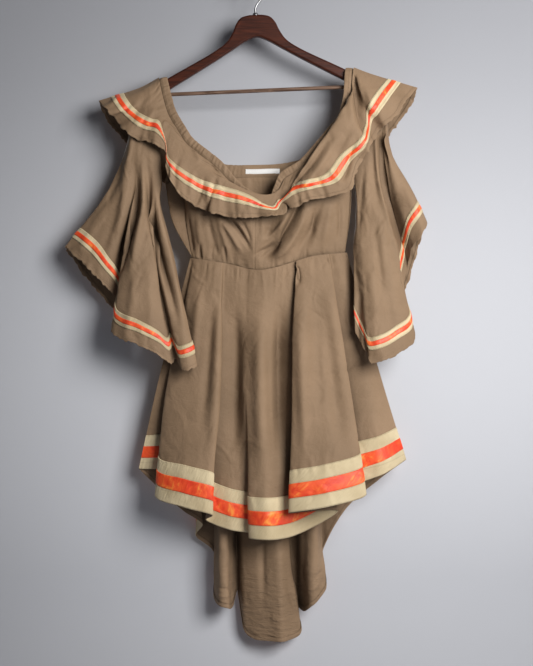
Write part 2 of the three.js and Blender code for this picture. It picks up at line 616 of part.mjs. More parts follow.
const casing = wallBetween(casingGrid, casingNormals, -casingThick / 2, casingThick / 2, {
  closed: true,
  outward: -1,
});
addPiece('neck_casing', casing, 'cloth');
addCloth('bodice_front', bodiceLines(bodiceFront), shares(0, 0.25, 0.5, 0.75, 1), { per: 2 });
addCloth('bodice_back', bodiceLines(bodiceBack), shares(0, 0.33, 0.66, 1), { per: 2, outward: 1 });

const flounceRows = [...shares(0, 0.4, 0.75), ...trimRows, hemRow];
const front = addCloth('flounce_front', flounceLines(flounceFront, false), flounceRows, { per: 2 });
addTrim('flounce_front', front, 3, ribbonSatin);
const back = addCloth('flounce_back', flounceLines(flounceBack, true), flounceRows, { per: 2, outward: 1 });
addTrim('flounce_back', back, 3, ribbonSatin);

const sleeveRows = [...shares(0, 0.15, 0.3, 0.46, 0.64, 0.82), ...trimRows, hemRow];
for (const side of ['left', 'right']) {
  const outward = side === 'left' ? -1 : 1;
  const sleeve = addCloth(`sleeve_${side}`, sleeveLines(side), sleeveRows, { per: 2, closed: true, outward });
  addTrim(`sleeve_${side}`, sleeve, 6, ribbonSatin);
}

const skirtRows = [...shares(0, 0.15, 0.32, 0.5, 0.68, 0.85), trimRows[0], hemRow];
const skirts = [
  { side: 'front', table: skirtFront, outward: -1 },
  { side: 'back', table: skirtBack, outward: 1 },
];
for (const { side, table, outward } of skirts) {
  const skirt = addCloth(`skirt_${side}`, skirtLines(table), skirtRows, { per: 3, outward });
  addTrim(`hem_band_${side}`, skirt, 6, bandSatin);
}

const labelGeometry = new THREE.BoxGeometry(label.wide, label.thick, label.high);
const labelPlace = place(label.x, label.z, 16 - casingThick / 2 - seamGap - label.thick / 2);
labelGeometry.translate(labelPlace.x, labelPlace.y, labelPlace.z);
addPiece('neck_label', labelGeometry, 'label');

export default dress;
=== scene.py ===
# Ruffle dress on a wooden hanger: its looks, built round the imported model, in metres, +Z up.
import math
import bpy
import numpy as np
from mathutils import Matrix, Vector


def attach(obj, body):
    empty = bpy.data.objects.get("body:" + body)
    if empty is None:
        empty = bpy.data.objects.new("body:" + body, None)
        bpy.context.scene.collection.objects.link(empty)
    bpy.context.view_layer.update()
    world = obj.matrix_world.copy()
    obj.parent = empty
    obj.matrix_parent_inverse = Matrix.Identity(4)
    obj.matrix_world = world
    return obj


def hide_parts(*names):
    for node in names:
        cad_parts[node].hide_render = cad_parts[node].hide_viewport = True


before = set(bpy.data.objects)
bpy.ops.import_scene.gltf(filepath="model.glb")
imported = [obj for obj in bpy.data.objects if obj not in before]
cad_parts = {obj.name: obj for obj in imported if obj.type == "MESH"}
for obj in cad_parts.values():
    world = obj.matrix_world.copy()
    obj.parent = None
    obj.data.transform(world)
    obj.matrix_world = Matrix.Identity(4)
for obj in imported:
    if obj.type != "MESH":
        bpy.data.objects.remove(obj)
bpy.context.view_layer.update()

scene = bpy.context.scene

# The tables give each place as the eye sees it from straight in front, in millimetres in the hanger's
# plane: x, z and then its own depth y. place() moves it along its line of sight to that depth.
eye = {"x": 23, "z": -646, "away": 2000}


def place(seen):
    seen = np.asarray(seen, float)
    x, z, y = seen[..., 0], seen[..., 1], seen[..., 2]
    scale = (eye["away"] + y) / eye["away"]
    return np.stack([eye["x"] + (x - eye["x"]) * scale, y, eye["z"] + (z - eye["z"]) * scale], axis=-1)


def seenFrom(points):
    scale = (eye["away"] + points[..., 1]) / eye["away"]
    x = eye["x"] + (points[..., 0] - eye["x"]) / scale
    z = eye["z"] + (points[..., 2] - eye["z"]) / scale
    return np.stack([x, z], axis=-1)


# A smooth curve through points[0], points[1] and on, read at each place t, counted in points
def through(points, t, closed=False):
    points = np.asarray(points, float)
    count = len(points)
    t = np.asarray(t, float)
    if closed:
        at = np.floor(t).astype(int)
        a, b, c, d = (points[(at + step) % count] for step in (-1, 0, 1, 2))
    else:
        at = np.clip(np.floor(t).astype(int), 0, count - 2)
        longer = np.concatenate([[2 * points[0] - points[1]], points, [2 * points[-1] - points[-2]]])
        a, b, c, d = (longer[at + step] for step in (0, 1, 2, 3))
    w = (t - at).reshape((-1,) + (1,) * (points.ndim - 1))

    def gap(p, q):
        return np.sqrt(np.linalg.norm(q - p, axis=-1, keepdims=True))

    before, here, after = gap(a, b), gap(b, c), gap(c, d)
    here = np.where(here < 1e-2, 1.0, here)
    before = np.where(before < 1e-2, here, before)
    after = np.where(after < 1e-2, here, after)
    start = ((b - a) / before - (c - a) / (before + here) + (c - b) / here) * here
    end = ((c - b) / here - (d - b) / (here + after) + (d - c) / after) * here
    return (b + start * w + (3 * (c - b) - 2 * start - end) * w ** 2
            + (2 * (b - c) + start + end) * w ** 3)


# Places along one line of cloth, evenly spaced above its trim, on its trim and below it. Returns the
# places and how far each is up from the hem.
def stations(line, trim, counts):
    fine = through(line, np.linspace(0, len(line) - 1, 241))
    run = np.concatenate([[0], np.cumsum(np.linalg.norm(np.diff(fine, axis=0), axis=1))])
    top = run[-1] - trim[0] - trim[1] / 2
    low = run[-1] - trim[0] + trim[1] / 2
    at = [np.linspace(0, top, counts[0], endpoint=counts[1] == 0)]
    if counts[1]:
        at.append(np.linspace(top, low, counts[1] + 1))
    if counts[2]:
        at.append(np.linspace(low, run[-1], counts[2] + 1)[1:])
    at = np.concatenate(at)
    return np.stack([np.interp(at, run, fine[:, k]) for k in range(3)], axis=-1), run[-1] - at


# One cloth panel as a grid of places, across then down, with its normals out of the cloth's outer side
class Panel:
    def __init__(self, lines, trims, counts, spacing, closed=False, outward=1):
        rows = [stations(line, trim, counts) for line, trim in zip(lines, trims)]
        places = np.array([row[0] for row in rows])
        up = np.array([row[1] for row in rows])[:, :, None]
        ends = np.roll(places, -1, axis=0) if closed else places[1:]
        widths = np.linalg.norm(ends - places[:len(ends)], axis=2).max(axis=1)
        steps = np.maximum(4, np.ceil(widths / spacing)).astype(int)
        t = [k + np.arange(n) / n for k, n in enumerate(steps)]
        if not closed:
            t.append([len(lines) - 1])
        self.turn = np.concatenate(t)
        self.points = through(places, self.turn, closed)
        self.up = through(up, self.turn, closed)[:, :, 0]
        self.closed = closed
        self.outward = outward
        self.counts = counts
        self.seen = seenFrom(self.points)
        self.measure()

    def measure(self):
        if self.closed:
            ringed = np.concatenate([self.points[-1:], self.points, self.points[:1]])
            across = np.gradient(ringed, axis=0)[1:-1]
        else:
            across = np.gradient(self.points, axis=0)
        down = np.gradient(self.points, axis=1)
        normal = np.cross(across, down) * self.outward
        self.normals = normal / np.maximum(np.linalg.norm(normal, axis=-1, keepdims=True), 1e-9)
        loop = np.concatenate([self.points, self.points[:1]]) if self.closed else self.points
        step = np.linalg.norm(np.diff(loop, axis=0), axis=-1)
        self.along = np.concatenate([np.zeros((1, step.shape[1])), np.cumsum(step, axis=0)])
        length = np.linalg.norm(np.diff(self.points, axis=1), axis=-1)
        self.down = np.concatenate([np.zeros((len(length), 1)), np.cumsum(length, axis=1)], axis=1)

    def lift(self, amount):
        self.points = self.points + self.normals * amount[..., None]
        self.measure()

    # Moves the cut edge in and out a little, so that it isn't ruled
    def fray(self, amount, size, seed):
        chance = np.random.default_rng(seed + 200)
        edge = self.along[:len(self.points), -1]
        wave = np.zeros(len(edge))
        whole = self.along[-1, -1]
        for k in range(14):
            usual = size * chance.uniform(0.45, 1) * 1.28 ** k
            length = whole / max(1, round(whole / usual))
            wave += (0.45 + 0.07 * k) * np.sin(2 * math.pi * edge / length + chance.uniform(0, 6.3))
        share = np.clip(1 - self.up / 12, 0, 1) ** 2
        down = np.gradient(self.points, axis=1)
        down /= np.maximum(np.linalg.norm(down, axis=-1, keepdims=True), 1e-9)
        self.points = self.points + down * (amount * wave[:, None] / 2.5 * share)[..., None]
        self.measure()

    def front(self):
        return np.clip(0.5 - self.normals[..., 1] * 2, 0, 1)

    # 0 at the panel's side edges, 1 from so many lines of its table within them
    def within(self, lines):
        return np.clip(np.minimum(self.turn, self.turn[-1] - self.turn) / lines, 0, 1)[:, None]

    def area(self):
        a = self.points[:-1, :-1]
        cross = np.cross(self.points[1:, :-1] - a, self.points[:-1, 1:] - a)
        return float(np.linalg.norm(cross, axis=-1).sum())


# Folds pressed into a cloth. Each row is a path as the eye sees it, how far it stands out (below zero, a
# trough), how wide it is and how its ends die away.
def folded(seen, folds):
    lift = np.zeros(seen.shape[:-1])
    for fold in folds:
        knots = np.array(fold["path"], float)
        curve = through(knots, np.linspace(0, len(knots) - 1, 8 * (len(knots) - 1) + 1))
        wide = fold["wide"]
        reach = 3 * wide
        low, high = curve.min(axis=0) - reach, curve.max(axis=0) + reach
        near = np.all((seen > low) & (seen < high), axis=-1)
        if not near.any():
            continue
        p = seen[near][:, None]
        a, b = curve[None, :-1], curve[None, 1:]
        span = b - a
        share = np.clip(((p - a) * span).sum(-1) / np.maximum((span ** 2).sum(-1), 1e-9), 0, 1)
        away = np.linalg.norm(p - a - span * share[..., None], axis=-1)
        best = away.argmin(axis=1)
        rows = np.arange(len(best))
        along = (best + share[rows, best]) / (len(curve) - 1)
        openEnds = fold.get("open", "")  # these don't fade
        fade = np.ones(len(along))
        if "start" not in openEnds:
            fade *= np.clip(along / 0.35, 0, 1)
        if "end" not in openEnds:
            fade *= np.clip((1 - along) / 0.35, 0, 1)
        fade = fade * fade * (3 - 2 * fade)
        d = away[rows, best] / wide
        lift[near] += fold["deep"] * fade * np.exp(-d ** 2)
    return lift


# Small gathers that start at a seam: uneven in place, width, depth and length
def gathered(along, away, span, every, deep, reach, seed):
    chance = np.random.default_rng(seed)
    count = max(3, int((span[1] - span[0]) / every))
    middles = np.linspace(span[0], span[1], count) + chance.uniform(-0.45, 0.45, count) * every
    lift = np.zeros(np.broadcast(along, away).shape)
    for middle in middles:
        wide = every * chance.uniform(0.22, 0.5)
        tall = deep * chance.uniform(0.35, 1.2) * chance.choice([-1, 1], p=[0.6, 0.4])
        length = reach * chance.uniform(0.35, 1.3)
        lean = chance.uniform(-0.12, 0.12)
        side = (along - middle - lean * away) / (wide * (1 + np.abs(away) / (2 * reach)))
        lift += tall * np.exp(-side ** 2) * np.exp(-(np.abs(away) / length) ** 1.5)
    return lift


# Short worn-in creases, scattered unevenly over a piece; lean is their usual slant from upright
def creased(seen, count, deep, wide, long, lean, seed):
    chance = np.random.default_rng(seed)
    flat = seen.reshape(-1, 2)
    folds = []
    for _ in range(count):
        start = flat[chance.integers(len(flat))]
        angle = lean + chance.normal(0, 0.55)
        step = long * chance.uniform(0.35, 1.2) * np.array((math.sin(angle), -math.cos(angle)))
        bow = chance.uniform(-0.2, 0.2) * np.array((-step[1], step[0]))
        path = [start, start + step * 0.5 + bow, start + step]
        tall = deep * chance.uniform(0.4, 1.3) * chance.choice([-1, 1], p=[0.55, 0.45])
        folds.append({"path": path, "deep": tall, "wide": wide * chance.uniform(0.6, 1.5)})
    return folded(seen, folds)


# Gentle unevenness of hung cloth, from a few slanted waves
def rumpled(seen, deep, size, seed):
    chance = np.random.default_rng(seed)
    lift = np.zeros(seen.shape[:-1])
    for k in range(7):
        angle = chance.uniform(0, math.pi)
        length = size * chance.uniform(0.6, 1.7)
        wave = (seen[..., 0] * math.cos(angle) + seen[..., 1] * math.sin(angle)) / length
        lift += np.sin(2 * math.pi * wave + chance.uniform(0, 6.3) + 1.3 * np.sin(wave * 2.1 + k))
    return deep * lift / 4


def meshFrom(name, points, uv, closed=False, outward=1, finish=None):
    columns, rows = points.shape[:2]
    spans = columns if closed else columns - 1
    u, v = np.meshgrid(np.arange(spans), np.arange(rows - 1), indexing="ij")

    def corner(du, dv):
        return ((u + du) % columns) * rows + v + dv

    order = [(0, 0), (1, 0), (1, 1), (0, 1)]
    if outward < 0:
        order.reverse()
    quads = np.stack([corner(*step) for step in order], axis=-1).reshape(-1, 4)
    flat = np.stack([uv[u + du, v + dv] for du, dv in order], axis=-2).reshape(-1, 2)
    mesh = bpy.data.meshes.new(f"sewn_{name}")
    mesh.from_pydata((points.reshape(-1, 3) / 1000).tolist(), [], quads.tolist())
    mesh.uv_layers.new(name="cloth").data.foreach_set("uv", (flat / 1000).astype(np.float32).ravel())
    mesh.polygons.foreach_set("use_smooth", np.ones(len(quads), bool))
    piece = bpy.data.objects.new(f"sewn_{name}", mesh)
    scene.collection.objects.link(piece)
    if finish:
        mesh.materials.append(finish)
    return piece


def joinedTo(piece, nodes):
    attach(piece, "root")
    if nodes:
        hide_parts(*nodes)
    return piece


# The panel's own mesh, with its hem turned under by so much
def panelPiece(name, panel, finish, turnUnder=0, rim=0.5):
    points, along, up = panel.points, panel.along, panel.up
    closed = panel.closed
    if turnUnder:
        back = [index for index in range(points.shape[1] - 1, 0, -1)
                if panel.up[:, index].mean() < turnUnder]
        inner = points[:, back] - panel.normals[:, back] * rim * 2
        edge = points[:, -1:] - panel.normals[:, -1:] * rim
        edge = edge + (points[:, -1:] - points[:, -2:-1]) * 0.25
        points = np.concatenate([points, edge, inner], axis=1)
        along = np.concatenate([along, along[:, -1:], along[:, back]], axis=1)
        up = np.concatenate([up, up[:, -1:], -panel.up[:, back]], axis=1)
    if closed:
        up = np.concatenate([up, up[:1]])
    uv = np.stack([along, up], axis=-1)
    piece = meshFrom(name, points, uv, closed, panel.outward, finish)
    return joinedTo(piece, [name])


# A strip on the panel's outer side, between two shares of the trim's rows, with its edges turned down
def stripPiece(name, panel, finish, low, high, rows, lift, thick, wobble=0.25, seed=1):
    first = panel.counts[0]
    at = first + np.linspace(low, high, rows) * panel.counts[1]
    at = np.clip(at, 0, panel.points.shape[1] - 1)
    under = np.floor(np.minimum(at, panel.points.shape[1] - 1.001)).astype(int)
    share = (at - under)[None, :, None]

    def between(values):
        return values[:, under] * (1 - share) + values[:, under + 1] * share

    normals = between(panel.normals)
    base = between(panel.points)
    along = between(panel.along[:len(panel.points), :, None])[..., 0]
    down = between(panel.down[:, :, None])[..., 0]
    chance = np.random.default_rng(seed)
    sway = sum(np.sin(along[:, :1] / chance.uniform(9, 40) + chance.uniform(0, 6)) for k in range(4))
    points = base + normals * (lift + thick)
    middle = (down[:, :1] + down[:, -1:]) / 2
    puff = 1 - ((down - middle) / (middle - down[:, :1] + 1e-6)) ** 4
    points = points + normals * (0.25 * puff + 0.08 * sway * wobble)[..., None]
    points = np.concatenate([base[:, :1] + normals[:, :1] * 0.05, points,
                             base[:, -1:] + normals[:, -1:] * 0.05], axis=1)
    v = down - down[:, :1]
    v = np.concatenate([v[:, :1] - thick, v, v[:, -1:] + thick], axis=1)
    u = np.concatenate([along[:, :1], along, along[:, -1:]], axis=1)
    if panel.closed:
        v = np.concatenate([v, v[:1]])
        step = np.linalg.norm(points[0] - points[-1], axis=-1)
        u = np.concatenate([u, u[-1:] + step])
    piece = meshFrom(name, points, np.stack([u, v], axis=-1), panel.closed, panel.outward, finish)
    return joinedTo(piece, [name])


# One output of a material's nodes, so that a pattern reads as a sum
class Wire:
    def __init__(self, paint, socket):
        self.paint = paint
        self.socket = socket

    def combine(self, operation, other, swap=False):
        first, second = (other, self) if swap else (self, other)
        if self.socket.type == "RGBA":
            settings = {"data_type": "RGBA", "blend_type": operation}
            return self.paint.node("ShaderNodeMix", settings, {0: 1.0, 6: first, 7: second}, output=2)
        kind = "ShaderNodeVectorMath" if self.socket.type == "VECTOR" else "ShaderNodeMath"
        return self.paint.node(kind, {"operation": operation}, {0: first, 1: second})

    def __add__(self, other):
        return self.combine("ADD", other)

    def __radd__(self, other):
        return self.combine("ADD", other, swap=True)

    def __sub__(self, other):
        return self.combine("SUBTRACT", other)

    def __rsub__(self, other):
        return self.combine("SUBTRACT", other, swap=True)

    def __mul__(self, other):
        return self.combine("MULTIPLY", other)

    def __rmul__(self, other):
        return self.combine("MULTIPLY", other, swap=True)

    def __truediv__(self, other):
        return self.combine("DIVIDE", other)

    def __rtruediv__(self, other):
        return self.combine("DIVIDE", other, swap=True)

    def maths(self, operation, *others):
        values = {0: self}
        values.update({k + 1: other for k, other in enumerate(others)})
        return self.paint.node("ShaderNodeMath", {"operation": operation}, values)

    def between(self, low, high):
        # 0 below low, 1 above high, smooth in the middle
        values = {"Value": self, "From Min": low, "From Max": high}
        return self.paint.node("ShaderNodeMapRange", {"interpolation_type": "SMOOTHSTEP"}, values)

    def tint(self, first, second):
        # the first colour where this is 0, the second where it is 1
        settings = {"data_type": "RGBA"}
        return self.paint.node("ShaderNodeMix", settings, {0: self, 6: first, 7: second}, output=2)

    def part(self, index):
        return self.paint.node("ShaderNodeSeparateXYZ", {}, {0: self}, output=index)


# A material: its constants on the shader, its patterns from nodes
class Paint:
    def __init__(self, name, **constants):
        self.material = bpy.data.materials.new(name)
        self.material.use_nodes = True
        self.nodes = self.material.node_tree.nodes
        self.links = self.material.node_tree.links
        self.surface = self.nodes["Principled BSDF"]
        for key, value in constants.items():
            self.set(self.surface.inputs[key.replace("_", " ")], value)

    def set(self, socket, value):
        if isinstance(value, Wire):
            self.links.new(value.socket, socket)
        elif socket.type == "RGBA":
            socket.default_value = (*value, 1) if len(value) == 3 else value
        elif socket.type == "VECTOR" and not hasattr(value, "__len__"):
            socket.default_value = (value, value, value)
        else:
            socket.default_value = value

    def node(self, kind, settings=None, values=None, output=0):
        made = self.nodes.new(kind)
        for key, value in (settings or {}).items():
            setattr(made, key, value)
        for key, value in (values or {}).items():
            self.set(made.inputs[key], value)
        return Wire(self, made.outputs[output])

    def drive(self, name, wire):
        self.set(self.surface.inputs[name], wire)

    def cloth(self):
        # metres along the cloth, and metres up from its hem or across its strip
        return self.node("ShaderNodeUVMap", {"uv_map": "cloth"})

    def spot(self):
        return self.node("ShaderNodeTexCoord", {}, output=3)

    def noise(self, place, scale, detail=3.0, rough=0.55, warp=0.0):
        values = {"Vector": place, "Scale": scale, "Detail": detail, "Roughness": rough,
                  "Distortion": warp}
        return self.node("ShaderNodeTexNoise", {}, values)

    # Noise with a scale of its own on each axis, for threads, grain and streaks
    def drawnOut(self, place, scales, detail=3.0, rough=0.55, warp=0.0):
        drawn = self.node("ShaderNodeMapping", {}, {"Vector": place, "Scale": scales})
        return self.noise(drawn, 1, detail, rough, warp)

    def bump(self, height, distance, strength=1.0, after=None):
        values = {"Height": height, "Distance": distance, "Strength": strength}
        if after:
            values["Normal"] = after
        return self.node("ShaderNodeBump", {}, values)

    # Dashes of thread in a line at one place across the cloth: 1 on a stitch, 0 off it
    def stitches(self, along, across, line, dash=0.0028, wide=0.0005):
        beat = along.maths("MODULO", dash).maths("ABSOLUTE") / dash
        on = beat.between(0.1, 0.22) * (1 - beat.between(0.75, 0.88))
        near = 1 - (across - line).maths("ABSOLUTE").between(wide * 0.5, wide * 1.1)
        return on * near


# A plain weave: threads along and across
def weave(along, up, pitch):
    warp = (along * (2 * math.pi / pitch)).maths("SINE")
    weft = (up * (2 * math.pi / (pitch * 1.25))).maths("SINE")
    return warp * weft


def dressCloth():
    look = {
        "shade": (0.222, 0.144, 0.084),
        "light": (0.305, 0.201, 0.122),
        "thread": (0.27, 0.18, 0.11),
        # painted shade: the colour and reach of the darkening in creases and gaps
        "paintedShade": (0.085, 0.052, 0.029),
        "paintedShadeReach": 0.05,
        "weave": 0.0007,
        "crinkle": 0.0011,
        "hemLine": 0.0065,
    }
    paint = Paint("dressCloth", Specular_IOR_Level=0.3, Sheen_Weight=0.05, Sheen_Roughness=0.5,
                  Sheen_Tint=(1.0, 0.84, 0.66))
    cloth, spot = paint.cloth(), paint.spot()
    along, up = cloth.part(0), cloth.part(1)
    broad = paint.noise(spot, 9, 4)
    fine = paint.noise(spot, 900, 2)
    slub = paint.drawnOut(cloth, (2600, 60, 1), 2)
    colour = (broad * 0.75 + fine * 0.15 + slub * 0.2 - 0.05).between(0.3, 0.75)
    base = colour.tint(look["shade"], look["light"])
    stitch = paint.stitches(along, up, look["hemLine"])
    base = stitch.tint(base, look["thread"])
    edge = 1 - up.maths("ABSOLUTE").between(0.0, 0.0016)
    base = (edge * 0.45).tint(base, look["thread"])
    # painted shade: creases, gaps and the cloth beneath the ruffle are darkened through an ambient
    # occlusion node
    unshaded = paint.node("ShaderNodeAmbientOcclusion", {"samples": 5}, {"Distance": look["paintedShadeReach"]},
                       output=1)
    base = unshaded.between(0.15, 0.95).tint(look["paintedShade"], base)
    paint.drive("Base Color", base)
    paint.drive("Roughness", 0.66 + broad * 0.12)
    crumple = paint.noise(spot, 30, 5, 0.55, 0.4)
    # the train's foot is crushed crosswise
    foot = (-1 * spot.part(2)).between(1.03, 1.17)
    crush = paint.drawnOut(spot, (26, 26, 115), 4, 0.55, 0.9)
    grit = paint.noise(spot, 190, 4, 0.6, 0.3)
    relief = paint.bump(crumple + crush * (foot * 1.3 + 0.12) + grit * 0.12, look["crinkle"] * 3.4, 0.8)
    relief = paint.bump(weave(along, up, look["weave"]), 0.00004, 0.5, relief)
    relief = paint.bump(stitch, 0.0004, 0.9, relief)
    paint.drive("Normal", relief)
    return paint.material


def creamTape(name="creamTape", lines=(0.0014, 0.0078, 0.0156, 0.0222)):
    look = {"shade": (0.50, 0.395, 0.235), "light": (0.67, 0.555, 0.355), "thread": (0.42, 0.33, 0.20)}
    paint = Paint(name, Roughness=0.66, Specular_IOR_Level=0.3, Sheen_Weight=0.08)
    cloth, spot = paint.cloth(), paint.spot()
    along, across = cloth.part(0), cloth.part(1)
    broad = paint.noise(spot, 14, 3)
    ribs = (along * (2 * math.pi / 0.0011)).maths("SINE")
    base = (broad * 1.1 + ribs * 0.03 - 0.05).between(0.25, 0.75).tint(look["shade"], look["light"])
    stitch = None
    for line in lines:
        row = paint.stitches(along, across, line)
        stitch = row if stitch is None else stitch.maths("MAXIMUM", row)
    base = (stitch * 0.8).tint(base, look["thread"])
    paint.drive("Base Color", base)
    pucker = paint.drawnOut(cloth, (230, 60, 1), 3, 0.5, 0.4)
    relief = paint.bump(pucker, 0.0016, 0.8)
    relief = paint.bump(ribs, 0.00006, 0.6, relief)
    relief = paint.bump(stitch, 0.0003, 0.9, relief)
    paint.drive("Normal", relief)
    return paint.material


def orangeSatin():
    # the first two colours vary at random; the third is painted sheen, standing in for the satin's
    # highlights
    look = {"deep": (0.74, 0.052, 0.018), "body": (0.90, 0.105, 0.026), "paintedSheen": (0.98, 0.42, 0.07)}
    paint = Paint("orangeSatin", Specular_IOR_Level=0.42, Sheen_Weight=0.06, Sheen_Tint=(1.0, 0.6, 0.25),
                  Anisotropic=0.5)
    cloth, spot = paint.cloth(), paint.spot()
    along = cloth.part(0)
    cloud = paint.noise(spot, 42, 4, 0.6, 0.8)
    streak = paint.drawnOut(cloth, (190, 34, 1), 3, 0.5)
    base = cloud.between(0.35, 0.6).tint(look["deep"], look["body"])
    # painted sheen: yellow-orange streaks and patches stand in for the satin's highlights
    base = ((streak * 0.35 + cloud * 0.65).between(0.52, 0.70) * 0.7).tint(base, look["paintedSheen"])
    paint.drive("Base Color", base)
    paint.drive("Roughness", 0.34 + cloud * 0.22)
    threads = (along * (2 * math.pi / 0.0008)).maths("SINE")
    relief = paint.bump(streak * 0.7 + cloud * 0.7, 0.0016, 0.8)
    relief = paint.bump(threads, 0.00003, 0.5, relief)
    paint.drive("Normal", relief)
    return paint.material


def darkWood(name="darkWood", shade=(0.027, 0.0056, 0.0024), light=(0.070, 0.0155, 0.0062), coat=0.14):
    paint = Paint(name, Specular_IOR_Level=0.22, Coat_Weight=coat, Coat_Roughness=0.16)
    spot = paint.spot()
    grain = paint.drawnOut(spot, (14, 260, 260), 6, 0.6, 1.4)
    pores = paint.drawnOut(spot, (90, 1600, 1600), 2)
    wear = paint.noise(spot, 22, 4).between(0.58, 0.74)
    base = grain.between(0.3, 0.7).tint(shade, light)
    base = (wear * 0.35).tint(base, tuple(2.0 * c for c in light))
    paint.drive("Base Color", base)
    paint.drive("Roughness", 0.3 + pores * 0.22 + wear * 0.1)
    paint.drive("Normal", paint.bump(grain * 0.5 + pores.between(0.35, 0.5) * 0.3, 0.0003, 0.5))
    return paint.material


def hookSteel():
    paint = Paint("hookSteel", Metallic=1.0)
    spot = paint.spot()
    smear = paint.noise(spot, 55, 4)
    scratch = paint.drawnOut(spot, (900, 900, 120), 2)
    paint.drive("Base Color", smear.between(0.3, 0.7).tint((0.25, 0.25, 0.26), (0.46, 0.46, 0.48)))
    paint.drive("Roughness", 0.22 + smear * 0.16 + scratch * 0.08)
    paint.drive("Normal", paint.bump(scratch, 0.0001, 0.4))
    return paint.material


def labelCloth():
    paint = Paint("labelCloth", Roughness=0.6, Sheen_Weight=0.1)
    cloth = paint.cloth()
    along, across = cloth.part(0), cloth.part(1)
    threads = weave(along, across, 0.0006)
    low, high = (paint.stitches(along, across, line, 0.002) for line in (0.0012, 0.0078))
    stitch = low.maths("MAXIMUM", high)
    base = (threads * 0.5 + 0.5).tint((0.74, 0.73, 0.71), (0.84, 0.83, 0.82))
    paint.drive("Base Color", (stitch * 0.5).tint(base, (0.62, 0.60, 0.57)))
    paint.drive("Normal", paint.bump(stitch, 0.0002, 0.8, paint.bump(threads, 0.00005, 0.6)))
    return paint.material


def backdropPaint():
    paint = Paint("backdrop", Roughness=0.9, Specular_IOR_Level=0.1)
    spot = paint.spot()
    # painted light: the wall is painted brightest behind the dress and darker towards the corners, as a
    # pool of light
    sideways = ((spot.part(0) - 0.05) / 1.35).maths("POWER", 2.0)
    upright = ((spot.part(2) + 0.8) / 0.95).maths("POWER", 2.0)
    tone = (sideways + upright).maths("SQRT").between(0.1, 1.0) * 0.94 + paint.noise(spot, 3, 3) * 0.06
    paint.drive("Base Color", tone.tint((0.588, 0.602, 0.645), (0.292, 0.298, 0.325)))
    paint.drive("Normal", paint.bump(paint.noise(spot, 260, 3), 0.0002, 0.3))
    # from behind, the wall isn't in the way
    behind = paint.node("ShaderNodeNewGeometry", {}, output=6)
    clear = paint.node("ShaderNodeBsdfTransparent", {})
    painted = Wire(paint, paint.surface.outputs[0])
    mixed = paint.node("ShaderNodeMixShader", {}, {0: behind, 1: painted, 2: clear})
    paint.links.new(mixed.socket, paint.nodes["Material Output"].inputs["Surface"])
    return paint.material


paints = {
    "cloth": dressCloth(),
    "tape": creamTape(),
    "band": creamTape("creamBand", (0.0014, 0.0236, 0.0514, 0.0736)),
    "satin": orangeSatin(),
    "wood": darkWood(),
    "rail": darkWood("railWood", (0.07, 0.036, 0.022), (0.21, 0.13, 0.09), 0.4),
    "steel": hookSteel(),
    "label": labelCloth(),
}

neckEdge = [
    {"at": "left crest", "x": -161, "z": -173.5, "y": 0, "wide": 15},
    {"at": "over left arm", "x": -160, "z": -176.2, "y": -11, "wide": 15},
    {"at": "front left 1", "x": -152, "z": -209, "y": -19, "wide": 16},
    {"at": "front left 2", "x": -144, "z": -235, "y": -22, "wide": 16},
    {"at": "front left 3", "x": -130, "z": -259, "y": -24, "wide": 16},
    {"at": "front left 4", "x": -113, "z": -285, "y": -26, "wide": 16},
    {"at": "front left 5", "x": -89, "z": -305, "y": -28, "wide": 16},
    {"at": "front left 6", "x": -59, "z": -329, "y": -30, "wide": 16},
    {"at": "front left 7", "x": -26, "z": -368, "y": -32, "wide": 16},
    {"at": "low left", "x": 7, "z": -390, "y": -34, "wide": 16},
    {"at": "lowest", "x": 26, "z": -397, "y": -34, "wide": 15},
    {"at": "pinch", "x": 36, "z": -377, "y": -30, "wide": 13, "out": [0.85, -0.53]},
    {"at": "front right 1", "x": 48, "z": -350, "y": -28, "wide": 14, "out": [0.6, -0.8]},
    {"at": "front right 2", "x": 83, "z": -327, "y": -28, "wide": 15},
    {"at": "front right 3", "x": 113, "z": -294, "y": -27, "wide": 15},
    {"at": "front right 4", "x": 135, "z": -268, "y": -25, "wide": 15},
    {"at": "front right 5", "x": 154, "z": -244, "y": -22, "wide": 15},
    {"at": "front right 6", "x": 164, "z": -211, "y": -18, "wide": 15},
    {"at": "over right arm", "x": 168, "z": -160, "y": -11, "wide": 15},
    {"at": "right crest", "x": 170, "z": -156.5, "y": 0, "wide": 15},
    {"at": "behind right arm", "x": 171, "z": -165, "y": 11, "wide": 15},
    {"at": "back right 1", "x": 170, "z": -215, "y": 14, "wide": 19},
    {"at": "back right 2", "x": 159, "z": -252, "y": 14, "wide": 21},
    {"at": "back right 3", "x": 135, "z": -287, "y": 15, "wide": 23},
    {"at": "back right 4", "x": 100, "z": -318, "y": 16, "wide": 24},
    {"at": "back right 5", "x": 61, "z": -331, "y": 16, "wide": 25},
    {"at": "back middle", "x": 2, "z": -335, "y": 16, "wide": 25},
    {"at": "back left 5", "x": -59, "z": -333, "y": 16, "wide": 25},
    {"at": "back left 4", "x": -94, "z": -322, "y": 16, "wide": 24},
    {"at": "back left 3", "x": -122, "z": -298, "y": 15, "wide": 23},
    {"at": "back left 2", "x": -146, "z": -261, "y": 14, "wide": 21},
    {"at": "back left 1", "x": -161, "z": -220, "y": 14, "wide": 19},
    {"at": "behind left arm", "x": -163, "z": -181, "y": 10, "wide": 16},
]

